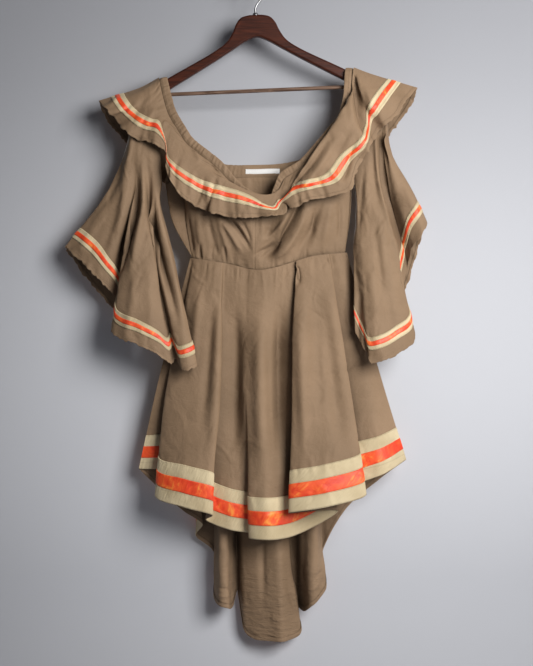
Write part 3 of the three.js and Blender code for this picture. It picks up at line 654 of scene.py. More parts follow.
flounceFront = [
    {"neck": 0.006, "fold": [-211, -192, -1], "hem": [-287, -216, -1], "ribbon": [35, 20]},
    {"neck": 0.03, "fold": [-207, -200, -17], "hem": [-279, -226, -16], "ribbon": [32, 20]},
    {"neck": 0.06, "fold": [-200, -215, -25], "hem": [-265, -242, -26], "ribbon": [30, 20]},
    {"neck": 0.09, "fold": [-194, -224, -26], "hem": [-252, -252, -16], "ribbon": [28, 20]},
    {"neck": 0.12, "fold": [-189, -233, -28], "hem": [-235, -278, -30], "ribbon": [35, 20]},
    {"neck": 0.15, "fold": [-181, -242, -29], "hem": [-211, -290, -22], "ribbon": [34, 20]},
    {"neck": 0.18, "fold": [-174, -250, -31], "hem": [-185, -296, -34], "ribbon": [33, 20]},
    {"neck": 0.21, "fold": [-165, -257, -32], "hem": [-166, -309, -32], "ribbon": [26, 15]},
    {"neck": 0.235, "fold": [-157, -265, -31], "hem": [-162, -323, -32], "ribbon": [14, 9]},
    {"neck": 0.26, "fold": [-151, -277, -31], "hem": [-162, -340, -36], "ribbon": [14, 10]},
    {"neck": 0.30, "fold": [-141, -294, -32], "hem": [-155, -364, -44], "ribbon": [26, 16]},
    {"neck": 0.35, "fold": [-124, -318, -36], "hem": [-130, -396, -48], "ribbon": [40, 20]},
    {"neck": 0.40, "fold": [-104, -337, -38], "hem": [-96, -417, -42], "ribbon": [45, 21]},
    {"neck": 0.44, "fold": [-80, -351, -40], "hem": [-78, -424, -52], "ribbon": [44, 21]},
    {"neck": 0.48, "fold": [-54, -364, -42], "hem": [-50, -431, -45], "ribbon": [42, 21]},
    {"neck": 0.52, "fold": [-28, -377, -44], "hem": [-24, -430, -53], "ribbon": [36, 20]},
    {"neck": 0.56, "fold": [-4, -390, -45], "hem": [7, -431, -47], "ribbon": [29, 18]},
    {"neck": 0.59, "fold": [18, -403, -44], "hem": [39, -430, -53], "ribbon": [24, 12]},
    {"neck": 0.61, "fold": [33, -409, -42], "hem": [56, -424, -48], "ribbon": [20, 8]},
    {"neck": 0.63, "fold": [44, -403, -39], "hem": [61, -407, -40], "ribbon": [15, 7]},
    {"neck": 0.66, "fold": [57, -392, -44], "hem": [68, -416, -48], "ribbon": [26, 11]},
    {"neck": 0.70, "fold": [68, -377, -48], "hem": [98, -402, -53], "ribbon": [36, 18]},
    {"neck": 0.74, "fold": [85, -355, -51], "hem": [141, -392, -50], "ribbon": [42, 20]},
    {"neck": 0.78, "fold": [104, -326, -50], "hem": [178, -381, -46], "ribbon": [40, 20]},
    {"neck": 0.82, "fold": [126, -292, -48], "hem": [196, -333, -42], "ribbon": [26, 18]},
    {"neck": 0.855, "fold": [146, -262, -47], "hem": [212, -311, -46], "ribbon": [18, 14]},
    {"neck": 0.88, "fold": [163, -232, -45], "hem": [218, -296, -45], "ribbon": [15, 10]},
    {"neck": 0.905, "fold": [180, -206, -29], "hem": [222, -286, -28], "ribbon": [22, 12]},
    {"neck": 0.925, "fold": [186, -198, -26], "hem": [231, -271, -24], "ribbon": [32, 16]},
    {"neck": 0.945, "fold": [192, -190, -29], "hem": [243, -261, -34], "ribbon": [36, 20]},
    {"neck": 0.965, "fold": [198, -183, -27], "hem": [264, -245, -27], "ribbon": [43, 20]},
    {"neck": 0.985, "fold": [206, -174, -15], "hem": [278, -220, -18], "ribbon": [40, 20]},
    {"neck": 0.994, "fold": [218, -167, -1], "hem": [302, -192, -1], "ribbon": [45, 20]},
]

flounceBack = [
    {"neck": 0.006, "fold": [-211, -192, 1], "hem": [-287, -216, 1], "ribbon": [35, 20]},
    {"neck": 0.06, "fold": [-206, -206, 18], "hem": [-277, -244, 20]},
    {"neck": 0.12, "fold": [-198, -228, 24], "hem": [-257, -272, 26]},
    {"neck": 0.18, "fold": [-188, -250, 26], "hem": [-233, -297, 24]},
    {"neck": 0.25, "fold": [-170, -290, 28], "hem": [-202, -335, 34]},
    {"neck": 0.33, "fold": [-140, -335, 30], "hem": [-155, -377, 36]},
    {"neck": 0.41, "fold": [-85, -370, 32], "hem": [-91, -407, 42]},
    {"neck": 0.50, "fold": [0, -380, 33], "hem": [0, -414, 38]},
    {"neck": 0.59, "fold": [90, -372, 32], "hem": [89, -407, 42]},
    {"neck": 0.67, "fold": [145, -338, 30], "hem": [159, -377, 36]},
    {"neck": 0.75, "fold": [175, -290, 28], "hem": [205, -335, 34]},
    {"neck": 0.82, "fold": [190, -250, 26], "hem": [242, -292, 26]},
    {"neck": 0.90, "fold": [204, -215, 22], "hem": [274, -248, 26]},
    {"neck": 0.96, "fold": [212, -184, 16], "hem": [292, -218, 16]},
    {"neck": 0.994, "fold": [218, -167, 1], "hem": [302, -192, 1], "ribbon": [45, 20]},
]

sleeveRings = {
    "left": [
        {"outer": [-180, -179.5], "inner": [-170, -370], "halfDeep": 10.8},
        {"outer": [-219, -203], "inner": [-172, -382], "halfDeep": 14},
        {"outer": [-238, -305], "inner": [-174, -398], "halfDeep": 17},
    ],
    "right": [
        {"outer": [187, -160.6], "inner": [186, -372], "halfDeep": 10.8},
        {"outer": [235, -181], "inner": [187, -382], "halfDeep": 14},
        {"outer": [252, -300], "inner": [189, -400], "halfDeep": 17},
    ],
}

sleeveFolds = {
    "left": [
        {"turn": 0, "middle": [-279, -396, 0], "hem": [-352, -488, 0]},
        {"turn": 28, "middle": [-262, -420, -14], "hem": [-316, -516, -16]},
        {"turn": 52, "middle": [-250, -444, -20], "hem": [-286, -549, -18]},
        {"turn": 68, "middle": [-236, -464, -10], "hem": [-256, -584, -4]},
        {"turn": 82, "middle": [-240, -492, -26], "hem": [-262, -647, -34]},
        {"turn": 100, "middle": [-216, -511, -36], "hem": [-211, -670, -52]},
        {"turn": 115, "middle": [-196, -520, -34], "hem": [-172, -688, -50]},
        {"turn": 126, "middle": [-182, -514, -28], "hem": [-153, -702, -44]},
        {"turn": 138, "middle": [-183, -510, -19], "hem": [-145, -692, -37]},
        {"turn": 150, "middle": [-175, -512, -26], "hem": [-132, -716, -58]},
        {"turn": 165, "middle": [-163, -500, -24], "hem": [-118, -714, -62]},
        {"turn": 182, "middle": [-154, -481, -8], "hem": [-105, -706, -52]},
        {"turn": 210, "middle": [-172, -500, 8], "hem": [-128, -698, -40]},
        {"turn": 245, "middle": [-196, -512, 12], "hem": [-172, -668, -4]},
        {"turn": 280, "middle": [-226, -500, 14], "hem": [-226, -640, 18]},
        {"turn": 315, "middle": [-252, -450, 12], "hem": [-284, -575, 20]},
        {"turn": 342, "middle": [-270, -412, 8], "hem": [-335, -510, 14]},
    ],
    "right": [
        {"turn": 0, "middle": [279, -366, 4], "hem": [315, -448, 6]},
        {"turn": 25, "middle": [270, -381, -6], "hem": [300, -470, -6]},
        {"turn": 45, "middle": [259, -409, -8], "hem": [287, -514, -6]},
        {"turn": 62, "middle": [252, -446, -6], "hem": [274, -585, -4]},
        {"turn": 78, "middle": [257, -474, -24], "hem": [298, -657, -34]},
        {"turn": 100, "middle": [240, -501, -38], "hem": [270, -681, -56]},
        {"turn": 125, "middle": [220, -514, -38], "hem": [240, -697, -64]},
        {"turn": 150, "middle": [200, -514, -34], "hem": [216, -701, -62]},
        {"turn": 170, "middle": [189, -501, -24], "hem": [207, -681, -50]},
        {"turn": 190, "middle": [184, -483, -12], "hem": [187, -640, -38]},
        {"turn": 215, "middle": [192, -474, 6], "hem": [218, -650, -26]},
        {"turn": 250, "middle": [218, -483, 12], "hem": [255, -618, 8]},
        {"turn": 290, "middle": [248, -446, 14], "hem": [285, -548, 16]},
        {"turn": 330, "middle": [270, -396, 12], "hem": [307, -477, 14]},
    ],
}

waistLine = [
    {"x": -119, "z": -507},
    {"x": -81, "z": -512},
    {"x": -41, "z": -519},
    {"x": -17, "z": -526},
    {"x": 4, "z": -530},
    {"x": 31, "z": -527},
    {"x": 68, "z": -516},
    {"x": 113, "z": -502},
    {"x": 175, "z": -497},
]

skirtFront = [
    {"fold": "left side", "waist": [-118, -1], "middle": [-174, 1], "hem": [-213, -897, 7], "band": 64},
    {"fold": "behind first panel", "waist": [-115, -3], "middle": [-152, -4], "hem": [-159, -903, -6],
     "band": 66},
    {"fold": "first edge", "waist": [-109, -6], "middle": [-162, -16], "hem": [-184, -946, -26],
     "band": 70},
    {"fold": "first belly", "waist": [-90, -12], "middle": [-118, -34], "hem": [-131, -968, -54]},
    {"fold": "first end", "waist": [-60, -14], "middle": [-68, -38], "hem": [-78, -983, -58]},
    {"fold": "left valley", "waist": [-53, -10], "middle": [-76, -20], "hem": [-89, -992, -30]},
    {"fold": "second belly", "waist": [-33, -12], "middle": [-43, -24], "hem": [-46, -1010, -36]},
    {"fold": "second end", "waist": [-14, -12], "middle": [-17, -33], "hem": [4, -1018, -34]},
    {"fold": "third edge", "waist": [-7, -14], "middle": [-12, -37], "hem": [-10, -1025, -52]},
    {"fold": "third belly", "waist": [15, -17], "middle": [19, -46], "hem": [22, -1029, -68]},
    {"fold": "third turn", "waist": [40, -16], "middle": [44, -36], "hem": [56, -1026, -54]},
    {"fold": "third curl", "waist": [62, -14], "middle": [72, -26], "hem": [91, -1014, -40]},
    {"fold": "pleat inside", "waist": [88, -13], "middle": [102, -22], "hem": [155, -975, -34]},
    {"fold": "fourth edge", "waist": [78, -19], "middle": [68, -46], "hem": [64, -979, -72]},
    {"fold": "fourth belly", "waist": [105, -19], "middle": [118, -50], "hem": [135, -968, -86]},
    {"fold": "fourth end", "waist": [138, -15], "middle": [178, -36], "hem": [208, -945, -66]},
    {"fold": "right valley", "waist": [141, -11], "middle": [167, -22], "hem": [189, -929, -40]},
    {"fold": "fifth belly", "waist": [156, -9], "middle": [207, -20], "hem": [244, -905, -40], "band": 68},
    {"fold": "right side", "waist": [172, -1], "middle": [229, -1], "hem": [281, -880, -1], "band": 62},
]

skirtBack = [
    {"fold": "left side", "waist": [-118, 1], "middle": [-174, 3], "hem": [-213, -897, 9], "band": 64},
    {"fold": "left flap", "waist": [-105, 9], "middle": [-140, 18], "hem": [-135, -971, 24]},
    {"fold": "left curl", "waist": [-90, 10], "middle": [-108, 20], "hem": [-96, -999, 12]},
    {"fold": "left curl back", "waist": [-80, 10], "middle": [-98, 26], "hem": [-108, -1020, 32]},
    {"fold": "left slope", "waist": [-66, 10], "middle": [-80, 24], "hem": [-74, -1051, 34]},
    {"fold": "left tube edge", "waist": [-56, 10], "middle": [-66, 14], "hem": [-74, -1136, 12]},
    {"fold": "left tube", "waist": [-44, 9], "middle": [-54, 6], "hem": [-59, -1151, -6]},
    {"fold": "left tube end", "waist": [-34, 10], "middle": [-42, 12], "hem": [-43, -1154, 10]},
    {"fold": "left valley", "waist": [-26, 11], "middle": [-36, 26], "hem": [-31, -1121, 34]},
    {"fold": "middle edge", "waist": [-16, 10], "middle": [-22, 14], "hem": [-13, -1203, 8]},
    {"fold": "middle", "waist": [10, 9], "middle": [14, 6], "hem": [33, -1215, -12]},
    {"fold": "middle end", "waist": [40, 10], "middle": [50, 14], "hem": [85, -1203, 6]},
    {"fold": "right valley", "waist": [50, 11], "middle": [54, 28], "hem": [80, -1154, 34]},
    {"fold": "right tube edge", "waist": [60, 10], "middle": [67, 16], "hem": [93, -1160, 16]},
    {"fold": "right tube", "waist": [80, 9], "middle": [92, 8], "hem": [107, -1151, -4]},
    {"fold": "right tube end", "waist": [100, 10], "middle": [115, 14], "hem": [132, -1117, 10]},
    {"fold": "right slope", "waist": [112, 11], "middle": [128, 26], "hem": [126, -1058, 30]},
    {"fold": "right flap", "waist": [130, 10], "middle": [150, 22], "hem": [168, -973, 28]},
    {"fold": "right rear", "waist": [150, 9], "middle": [200, 16], "hem": [229, -918, 22]},
    {"fold": "right side", "waist": [172, 1], "middle": [229, 1], "hem": [281, -880, 1], "band": 62},
]

bodiceFront = [
    {"top": [-129, -345, -2], "middle": [-127, -3], "waist": [-113, -0.6]},
    {"top": [-127, -316, -17], "middle": [-122, -14], "waist": [-108, -1.6]},
    {"top": [-104, -322, -21], "middle": [-100, -20], "waist": [-92, -9]},
    {"top": [-80, -336, -24], "middle": [-76, -24], "waist": [-66, -8]},
    {"top": [-52, -362, -26], "middle": [-48, -26], "waist": [-40, -6.5]},
    {"top": [-26, -388, -28], "middle": [-18, -28], "waist": [-14, -9]},
    {"top": [5, -408, -29], "middle": [4, -27], "waist": [6, -12]},
    {"top": [34, -414, -29], "middle": [32, -20], "waist": [28, -12.5]},
    {"top": [62, -378, -25], "middle": [52, -30], "waist": [50, -11.5]},
    {"top": [94, -346, -24], "middle": [88, -27], "waist": [82, -9.5]},
    {"top": [124, -312, -22], "middle": [118, -24], "waist": [112, -9]},
    {"top": [148, -283, -19], "middle": [150, -18], "waist": [148, -5]},
    {"top": [178, -330, -3], "middle": [176, -2], "waist": [168, -0.6]},
]

bodiceBack = [
    {"top": [-129, -348, 0], "middle": [-127, -1], "waist": [-113, 0.8]},
    {"top": [-164, -370, 2], "middle": [-150, 2], "waist": [-111, 1.2]},
    {"top": [-148, -330, 8], "middle": [-140, 8], "waist": [-104, 4]},
    {"top": [-122, -326, 13], "middle": [-118, 11], "waist": [-95, 6]},
    {"top": [-66, -356, 13.4], "middle": [-62, 12], "waist": [-55, 7]},
    {"top": [2, -358, 13.4], "middle": [2, 12], "waist": [2, 7]},
    {"top": [68, -354, 13.4], "middle": [64, 12], "waist": [58, 7]},
    {"top": [124, -322, 13], "middle": [120, 11], "waist": [112, 6]},
    {"top": [160, -296, 10], "middle": [158, 8], "waist": [148, 4]},
    {"top": [181, -333, 0], "middle": [179, 1], "waist": [168, 0.8]},
]

casingThick = 2.0
seamLift = casingThick / 2 + 1.2 + 0.7
neckCentre = (7, -141)
ringSquareness = 0.2
skirtMiddle = 0.55
bodiceTuck = 4
ribbon = [35, 20]  # the tape's middle above the hem, and its width
bandWide = 75


def neckPlaces(beyond):
    places = []
    for row in neckEdge:
        out = np.array(row.get("out", [row["x"] - neckCentre[0], row["z"] - neckCentre[1]]), float)
        out /= np.linalg.norm(out)
        wide = row["wide"] * beyond
        places.append([row["x"] + out[0] * wide, row["z"] + out[1] * wide, row["y"]])
    return place(places)


def waistHeight(x):
    return np.interp(x, [row["x"] for row in waistLine], [row["z"] for row in waistLine])


casingSpots = np.linspace(0, len(neckEdge), 900, endpoint=False)
casingTop = through(neckPlaces(0), casingSpots, True)
casingLow = through(neckPlaces(1), casingSpots, True)


def casingNormal():
    ahead = np.roll(casingTop, -1, axis=0) - np.roll(casingTop, 1, axis=0)
    normal = -np.cross(ahead, casingLow - casingTop)
    return normal / np.linalg.norm(normal, axis=1, keepdims=True)


casingOut = casingNormal()
rightCrest = next(k for k, row in enumerate(neckEdge) if row["at"] == "right crest")


def seamPlace(share, behind):
    turn = rightCrest / len(neckEdge)
    t = ((1 - share * (1 - turn)) % 1 if behind else share * turn) * len(casingSpots)
    a = int(t) % len(casingSpots)
    b = (a + 1) % len(casingSpots)
    low = casingLow[a] * (1 - t % 1) + casingLow[b] * (t % 1)
    return low + casingOut[a] * seamLift


def flounceLines(table, behind):
    lines = [np.array([seamPlace(row["neck"], behind), place(row["fold"]), place(row["hem"])])
             for row in table]
    return lines, [row.get("ribbon", ribbon) for row in table]


def sleeveLines(side):
    lines = []
    for row in sleeveFolds[side]:
        turn = math.radians(row["turn"])
        inward = (1 - math.cos(turn)) / 2
        across = 0
        if row["turn"]:
            across = math.copysign(abs(math.sin(turn)) ** ringSquareness, math.sin(turn))
        rings = []
        for ring in sleeveRings[side]:
            spot = np.array(ring["outer"]) * (1 - inward) + np.array(ring["inner"]) * inward
            rings.append([spot[0], spot[1], -ring["halfDeep"] * across])
        lines.append(place(rings + [row["middle"], row["hem"]]))
    return lines, [ribbon] * len(lines)


def skirtLines(table):
    lines = []
    for row in table:
        top = waistHeight(row["waist"][0])
        half = top + (row["hem"][1] - top) * skirtMiddle
        lines.append(place([[row["waist"][0], top, row["waist"][1]],
                            [row["middle"][0], half, row["middle"][1]], row["hem"]]))
    return lines, [[row.get("band", bandWide) / 2, row.get("band", bandWide)] for row in table]


def bodiceLines(table):
    lines = []
    for row in table:
        low = waistHeight(row["waist"][0]) - bodiceTuck
        lines.append(place([row["top"], [row["middle"][0], (row["top"][1] + low) / 2, row["middle"][1]],
                            [row["waist"][0], low, row["waist"][1]]]))
    return lines, [[0, 0]] * len(lines)


def report(stage, panel):
    columns, rows = panel.points.shape[:2]
    print(f"{stage}: {columns} by {rows} places, {panel.area() / 1e6:.3f} m2")


# Bodice: two fitted pieces, gathered into the neck seam and eased into the waist seam
bodiceLook = {
    "spacing": 2.0,
    "rows": 130,
    "neckGathers": {"every": 7, "deep": 1.0, "reach": 30},
    "waistGathers": {"every": 6.5, "deep": 1.2, "reach": 17},
    "folds": [
        {"path": [(82, -410), (64, -448), (36, -490), (8, -514)], "deep": -12, "wide": 7, "open": "start"},
        {"path": [(100, -404), (84, -448), (58, -490), (30, -516)], "deep": 7, "wide": 8},
        {"path": [(122, -400), (112, -440), (92, -480), (78, -510)], "deep": -5, "wide": 7},
        {"path": [(70, -416), (50, -448), (30, -466), (4, -484)], "deep": 3.5, "wide": 5},
        {"path": [(-59, -425), (-38, -444), (-20, -470), (-3, -500)], "deep": -7, "wide": 4.5},
        {"path": [(-72, -424), (-52, -450), (-34, -478), (-20, -506)], "deep": 4, "wide": 5},
        {"path": [(-34, -426), (-20, -444), (-10, -466), (-6, -488)], "deep": -3, "wide": 3.5},
        {"path": [(46, -468), (30, -486), (12, -496), (-4, -508)], "deep": -4, "wide": 4},
        {"path": [(-122, -404), (-122, -440), (-116, -480), (-112, -506)], "deep": -3, "wide": 5},
        {"path": [(-56, -482), (-54, -496), (-52, -516)], "deep": -2.6, "wide": 3, "open": "end"},
        {"path": [(-76, -478), (-78, -496), (-78, -516)], "deep": -2.4, "wide": 3, "open": "end"},
        {"path": [(-98, -474), (-100, -494), (-99, -514)], "deep": -2.8, "wide": 3.5, "open": "end"},
        {"path": [(110, -400), (112, -440), (106, -480)], "deep": -2.4, "wide": 4},
        {"path": [(158, -392), (160, -440), (156, -486)], "deep": -3.4, "wide": 5},
        {"path": [(-86, -410), (-82, -450), (-72, -488), (-66, -512)], "deep": -3, "wide": 5},
        {"path": [(-70, -412), (-62, -452), (-50, -490), (-44, -514)], "deep": 2.5, "wide": 5},
        {"path": [(-104, -400), (-104, -440), (-98, -484), (-92, -508)], "deep": 2.5, "wide": 6},
        {"path": [(130, -392), (116, -430), (104, -470), (98, -498)], "deep": -3.5, "wide": 6},
        {"path": [(148, -388), (138, -430), (130, -468), (126, -496)], "deep": 3, "wide": 7},
        {"path": [(10, -418), (16, -448), (14, -470), (8, -492)], "deep": 2.5, "wide": 6},
        {"path": [(34, -420), (30, -452), (22, -478)], "deep": -2.5, "wide": 5},
    ],
    "backFolds": [
        {"path": [(-60, -370), (-52, -430), (-44, -500)], "deep": 2, "wide": 8},
        {"path": [(40, -366), (46, -430), (44, -500)], "deep": -2, "wide": 9},
        {"path": [(100, -360), (96, -430), (88, -500)], "deep": 2.4, "wide": 8},
    ],
    "seam": {"path": [(1.3, -410), (1.6, -440), (1.0, -500), (1.0, -540)],
             "deep": -0.7, "wide": 1.1, "open": "start end"},
}


def bodice():
    look = bodiceLook
    for name, table, outward, folds, seed in (
            ("bodice_front", bodiceFront, -1, look["folds"], 3),
            ("bodice_back", bodiceBack, 1, look["backFolds"], 4)):
        panel = Panel(*bodiceLines(table), (look["rows"], 0, 0), look["spacing"], outward=outward)
        lift = folded(panel.seen, folds)
        ease = panel.within(0.6)
        low = panel.down[:, -1:] - panel.down
        low = np.maximum(low - bodiceTuck, 0)
        gathers = look["neckGathers"]
        lift += gathered(panel.along[:, :1], panel.down, (0, panel.along[-1, 0]), seed=seed, **gathers)
        gathers = look["waistGathers"]
        lift += gathered(panel.along[:, -1:], low, (0, panel.along[-1, -1]), seed=seed + 10, **gathers)
        lift += rumpled(panel.seen, 0.5, 60, seed) + creased(panel.seen, 26, 0.8, 2.6, 30, -0.2, seed)
        if outward < 0:
            lift += folded(panel.seen, [look["seam"]])
        tuck = np.clip((low + 1) / 5, 0, 1)
        tuck = tuck * tuck * (3 - 2 * tuck)
        top = np.clip(panel.down / 8, 0, 1)
        panel.lift(lift * ease * tuck * top)
        panelPiece(name, panel, paints["cloth"])
        report(name, panel)


bodice()

# Neck casing: a gathered channel over an elastic, with one line of stitching along its lower edge
casingLook = {
    "sides": 18,
    "thick": 3.0,
    "gathers": {"every": 4.6, "deep": 0.95, "reach": 1e6},
    "stitchAt": 0.82,
    "label": {"x": 16, "reach": 36},
}


def casing():
    look = casingLook
    run = np.concatenate([[0], np.cumsum(np.linalg.norm(np.diff(casingLow, axis=0), axis=1))])
    gather = gathered(run, np.zeros(len(run)), (0, run[-1]), seed=21, **look["gathers"])
    ease = np.clip(np.minimum(run, run[-1] - run) / 12, 0, 1)
    # the gathers die away behind the label
    byLabel = np.clip((np.abs(casingLow[:, 0] - look["label"]["x"]) - look["label"]["reach"]) / 8, 0, 1)
    behind = np.clip((casingLow[:, 1] - 6) / 4, 0, 1)
    gather = gather * ease * (1 - behind * (1 - byLabel))
    middle = (casingTop + casingLow) / 2
    half = (casingLow - casingTop) / 2
    ring = []
    for turn in np.linspace(0, 2 * math.pi, look["sides"] + 1):
        across = math.copysign(abs(math.cos(turn)) ** 0.7, math.cos(turn))
        side = math.copysign(abs(math.sin(turn)) ** 0.8, math.sin(turn))
        stitched = 1 - 0.75 * math.exp(-((across - look["stitchAt"]) / 0.12) ** 2)
        thick = look["thick"] / 2 * side * stitched
        puff = gather * side * max(0, 1 - across ** 4) * stitched
        scallop = 1 + 0.04 * gather * (across < 0)
        ring.append(middle + half * across * scallop[:, None] + casingOut * (thick + puff)[:, None])
    points = np.array(ring).transpose(1, 0, 2)
    width = np.linalg.norm(casingLow - casingTop, axis=1)
    shares = (1 - np.cos(np.linspace(0, math.pi, look["sides"] // 2 + 1))) / 2
    shares = np.concatenate([shares[::-1], shares[1:]])
    up = (1 - shares)[None] * width[:, None]
    along = np.repeat(np.append(run, run[-1] + 2)[:, None], points.shape[1], axis=1)
    up = np.concatenate([up, up[:1]])
    piece = meshFrom("neck_casing", points, np.stack([along, up], axis=-1), True, 1, paints["cloth"])
    joinedTo(piece, ["neck_casing"])
    print(f"casing: {run[-1]:.0f} mm round")


casing()

# Flounce: the ruffle that falls from the neck seam, in a front and a back length
flounceLook = {
    "spacing": 2.0,
    "counts": (30, 12, 14),
    "gathers": {"every": 8, "deep": 1.1, "reach": 30},
    "hemWaves": {"every": 17, "deep": 2.0, "reach": 15},
    "ragged": 1.3,
    "folds": [
        {"path": [(153, -262), (110, -328), (82, -360), (48, -394)], "deep": -7, "wide": 5, "open": "end"},
        {"path": [(166, -264), (124, -334), (98, -368), (70, -396)], "deep": 6, "wide": 6},
        {"path": [(184, -172), (193, -222), (200, -255), (212, -290)],
         "deep": -9, "wide": 5, "open": "start"},
        {"path": [(172, -186), (178, -226), (184, -262)], "deep": 5, "wide": 6},
        {"path": [(204, -180), (214, -220), (222, -250)], "deep": 4, "wide": 6},
        {"path": [(196, -276), (180, -312), (170, -350), (158, -372)], "deep": -5, "wide": 5},
        {"path": [(182, -262), (162, -300), (146, -330)], "deep": -2.6, "wide": 5},
        {"path": [(-68, -352), (-80, -390), (-95, -424)], "deep": -4.5, "wide": 4.5, "open": "end"},
        {"path": [(-90, -350), (-99, -386), (-112, -418)], "deep": -3.5, "wide": 4, "open": "end"},
        {"path": [(-146, -214), (-136, -262), (-120, -306)], "deep": -2.6, "wide": 4},
        {"path": [(-160, -186), (-152, -232), (-140, -280)], "deep": -2.8, "wide": 4},
        {"path": [(-124, -262), (-112, -302), (-96, -336)], "deep": 2.6, "wide": 4},
        {"path": [(-84, -310), (-76, -336), (-60, -362)], "deep": -2.2, "wide": 3.5},
        {"path": [(-222, -214), (-240, -236), (-262, -254)], "deep": -3.4, "wide": 5, "open": "end"},
        {"path": [(-246, -204), (-262, -222), (-280, -232)], "deep": 3, "wide": 5, "open": "end"},
        {"path": [(130, -330), (150, -356), (166, -374)], "deep": 3, "wide": 6},
        {"path": [(112, -346), (124, -372), (132, -392)], "deep": -3, "wide": 5, "open": "end"},
        {"path": [(92, -362), (100, -384), (106, -402)], "deep": 2.6, "wide": 5, "open": "end"},
        {"path": [(76, -380), (82, -398), (84, -412)], "deep": -2.6, "wide": 4, "open": "end"},
        {"path": [(-110, -340), (-116, -370), (-118, -400)], "deep": 2.6, "wide": 6, "open": "end"},
        {"path": [(-86, -356), (-92, -390), (-92, -418)], "deep": -2.4, "wide": 5, "open": "end"},
        {"path": [(-60, -370), (-64, -400), (-62, -426)], "deep": 2.6, "wide": 6, "open": "end"},
        {"path": [(-34, -384), (-36, -408), (-34, -430)], "deep": -2.2, "wide": 5, "open": "end"},
        {"path": [(-8, -396), (-8, -414), (-4, -430)], "deep": 2.2, "wide": 5, "open": "end"},
        {"path": [(-136, -316), (-146, -344), (-146, -376)], "deep": -2.4, "wide": 5, "open": "end"},
        {"path": [(-196, -200), (-212, -226), (-232, -250)], "deep": -2.6, "wide": 6},
        {"path": [(-182, -224), (-196, -256), (-206, -284)], "deep": 2.6, "wide": 6, "open": "end"},
        {"path": [(220, -184), (240, -206), (264, -224)], "deep": 2.6, "wide": 7},
        {"path": [(198, -196), (216, -226), (236, -262)], "deep": -2.6, "wide": 6},
    ],
}


def flounce():
    look = flounceLook
    for side, table, outward, seed in (("front", flounceFront, -1, 31), ("back", flounceBack, 1, 32)):
        name = f"flounce_{side}"
        panel = Panel(*flounceLines(table, side == "back"), look["counts"], look["spacing"],
                      outward=outward)
        lift = folded(panel.seen, look["folds"]) if outward < 0 else 0
        gathers = look["gathers"]
        lift = lift + gathered(panel.along[:, :1], panel.down, (0, panel.along[-1, 0]),
                               seed=seed, **gathers)
        hem = look["hemWaves"]
        lift += gathered(panel.along[:, -1:], panel.up, (0, panel.along[-1, -1]), seed=seed + 5, **hem)
        lift += creased(panel.seen, 46, 0.9, 2.4, 34, -0.1, seed)
        ends = panel.within(0.8)
        start = np.clip(panel.down / 7, 0, 1)
        panel.lift(lift * ends * start)
        panel.fray(look["ragged"] * ends, 9, seed)
        piece = panelPiece(name, panel, paints["cloth"], turnUnder=7)
        tape = stripPiece(f"{name}_tape", panel, paints["tape"],
                          -0.1, 1.1, 15, 0.35, 0.35, seed=seed)
        satin = stripPiece(f"{name}_satin", panel, paints["satin"],
                           0.29, 0.71, 8, 0.9, 0.3, seed=seed)
        report(name, panel)


flounce()

# Sleeves: each a cut-out bell that hangs in deep flares
sleeveLook = {
    "spacing": 2.6,
    "counts": (110, 10, 16),
    "gathers": {"every": 12, "deep": 1.6, "reach": 60},
    "hemWaves": {"every": 20, "deep": 1.8, "reach": 20},
    "ragged": 1.7,
    "folds": {
        "left": [
            {"path": [(-220, -320), (-218, -413), (-238, -481), (-258, -559)], "deep": -13, "wide": 7},
            {"path": [(-207, -300), (-206, -400), (-220, -490), (-236, -560)], "deep": 6, "wide": 7},
            {"path": [(-198, -300), (-194, -359), (-190, -433), (-174, -501), (-155, -569), (-136, -650)],
             "deep": -13, "wide": 6},
            {"path": [(-178, -340), (-176, -420), (-158, -500), (-136, -600), (-126, -660)],
             "deep": 5, "wide": 5},
            {"path": [(-236, -300), (-262, -380), (-300, -440)], "deep": -3.6, "wide": 7},
            {"path": [(-184, -300), (-178, -330), (-170, -352)], "deep": -4, "wide": 4},
            {"path": [(-196, -500), (-192, -580), (-190, -650)], "deep": 3, "wide": 9},
            {"path": [(-222, -520), (-226, -590), (-236, -650)], "deep": 3, "wide": 9, "open": "end"},
            {"path": [(-262, -360), (-286, -430), (-318, -490)], "deep": 3, "wide": 9, "open": "end"},
            {"path": [(-244, -360), (-262, -440), (-290, -520)], "deep": -3, "wide": 8},
        ],
        "right": [
            {"path": [(224, -281), (231, -363), (248, -434), (268, -506), (275, -559)],
             "deep": 6, "wide": 5, "open": "start"},
            {"path": [(237, -290), (244, -365), (262, -436), (280, -500), (287, -550)],
             "deep": -17, "wide": 10, "open": "start end"},
            {"path": [(256, -330), (284, -400), (302, -446), (308, -480)],
             "deep": 14, "wide": 12, "open": "end"},
            {"path": [(206, -272), (198, -360), (192, -470)], "deep": -7, "wide": 6},
            {"path": [(222, -430), (232, -520), (238, -600)], "deep": -4, "wide": 8},
            {"path": [(198, -560), (194, -620), (192, -668)], "deep": -3.4, "wide": 5, "open": "end"},
            {"path": [(200, -250), (204, -340), (210, -450)], "deep": 4, "wide": 9},
            {"path": [(216, -260), (222, -340), (232, -450)], "deep": -3.5, "wide": 8},
            {"path": [(236, -280), (246, -350), (252, -430)], "deep": 3, "wide": 7},
            {"path": [(214, -500), (222, -590), (230, -680)], "deep": 3, "wide": 10, "open": "end"},
            {"path": [(238, -500), (250, -590), (262, -670)], "deep": -3, "wide": 10},
            {"path": [(258, -340), (276, -400), (300, -450)], "deep": -2.6, "wide": 8},
        ],
    },
}


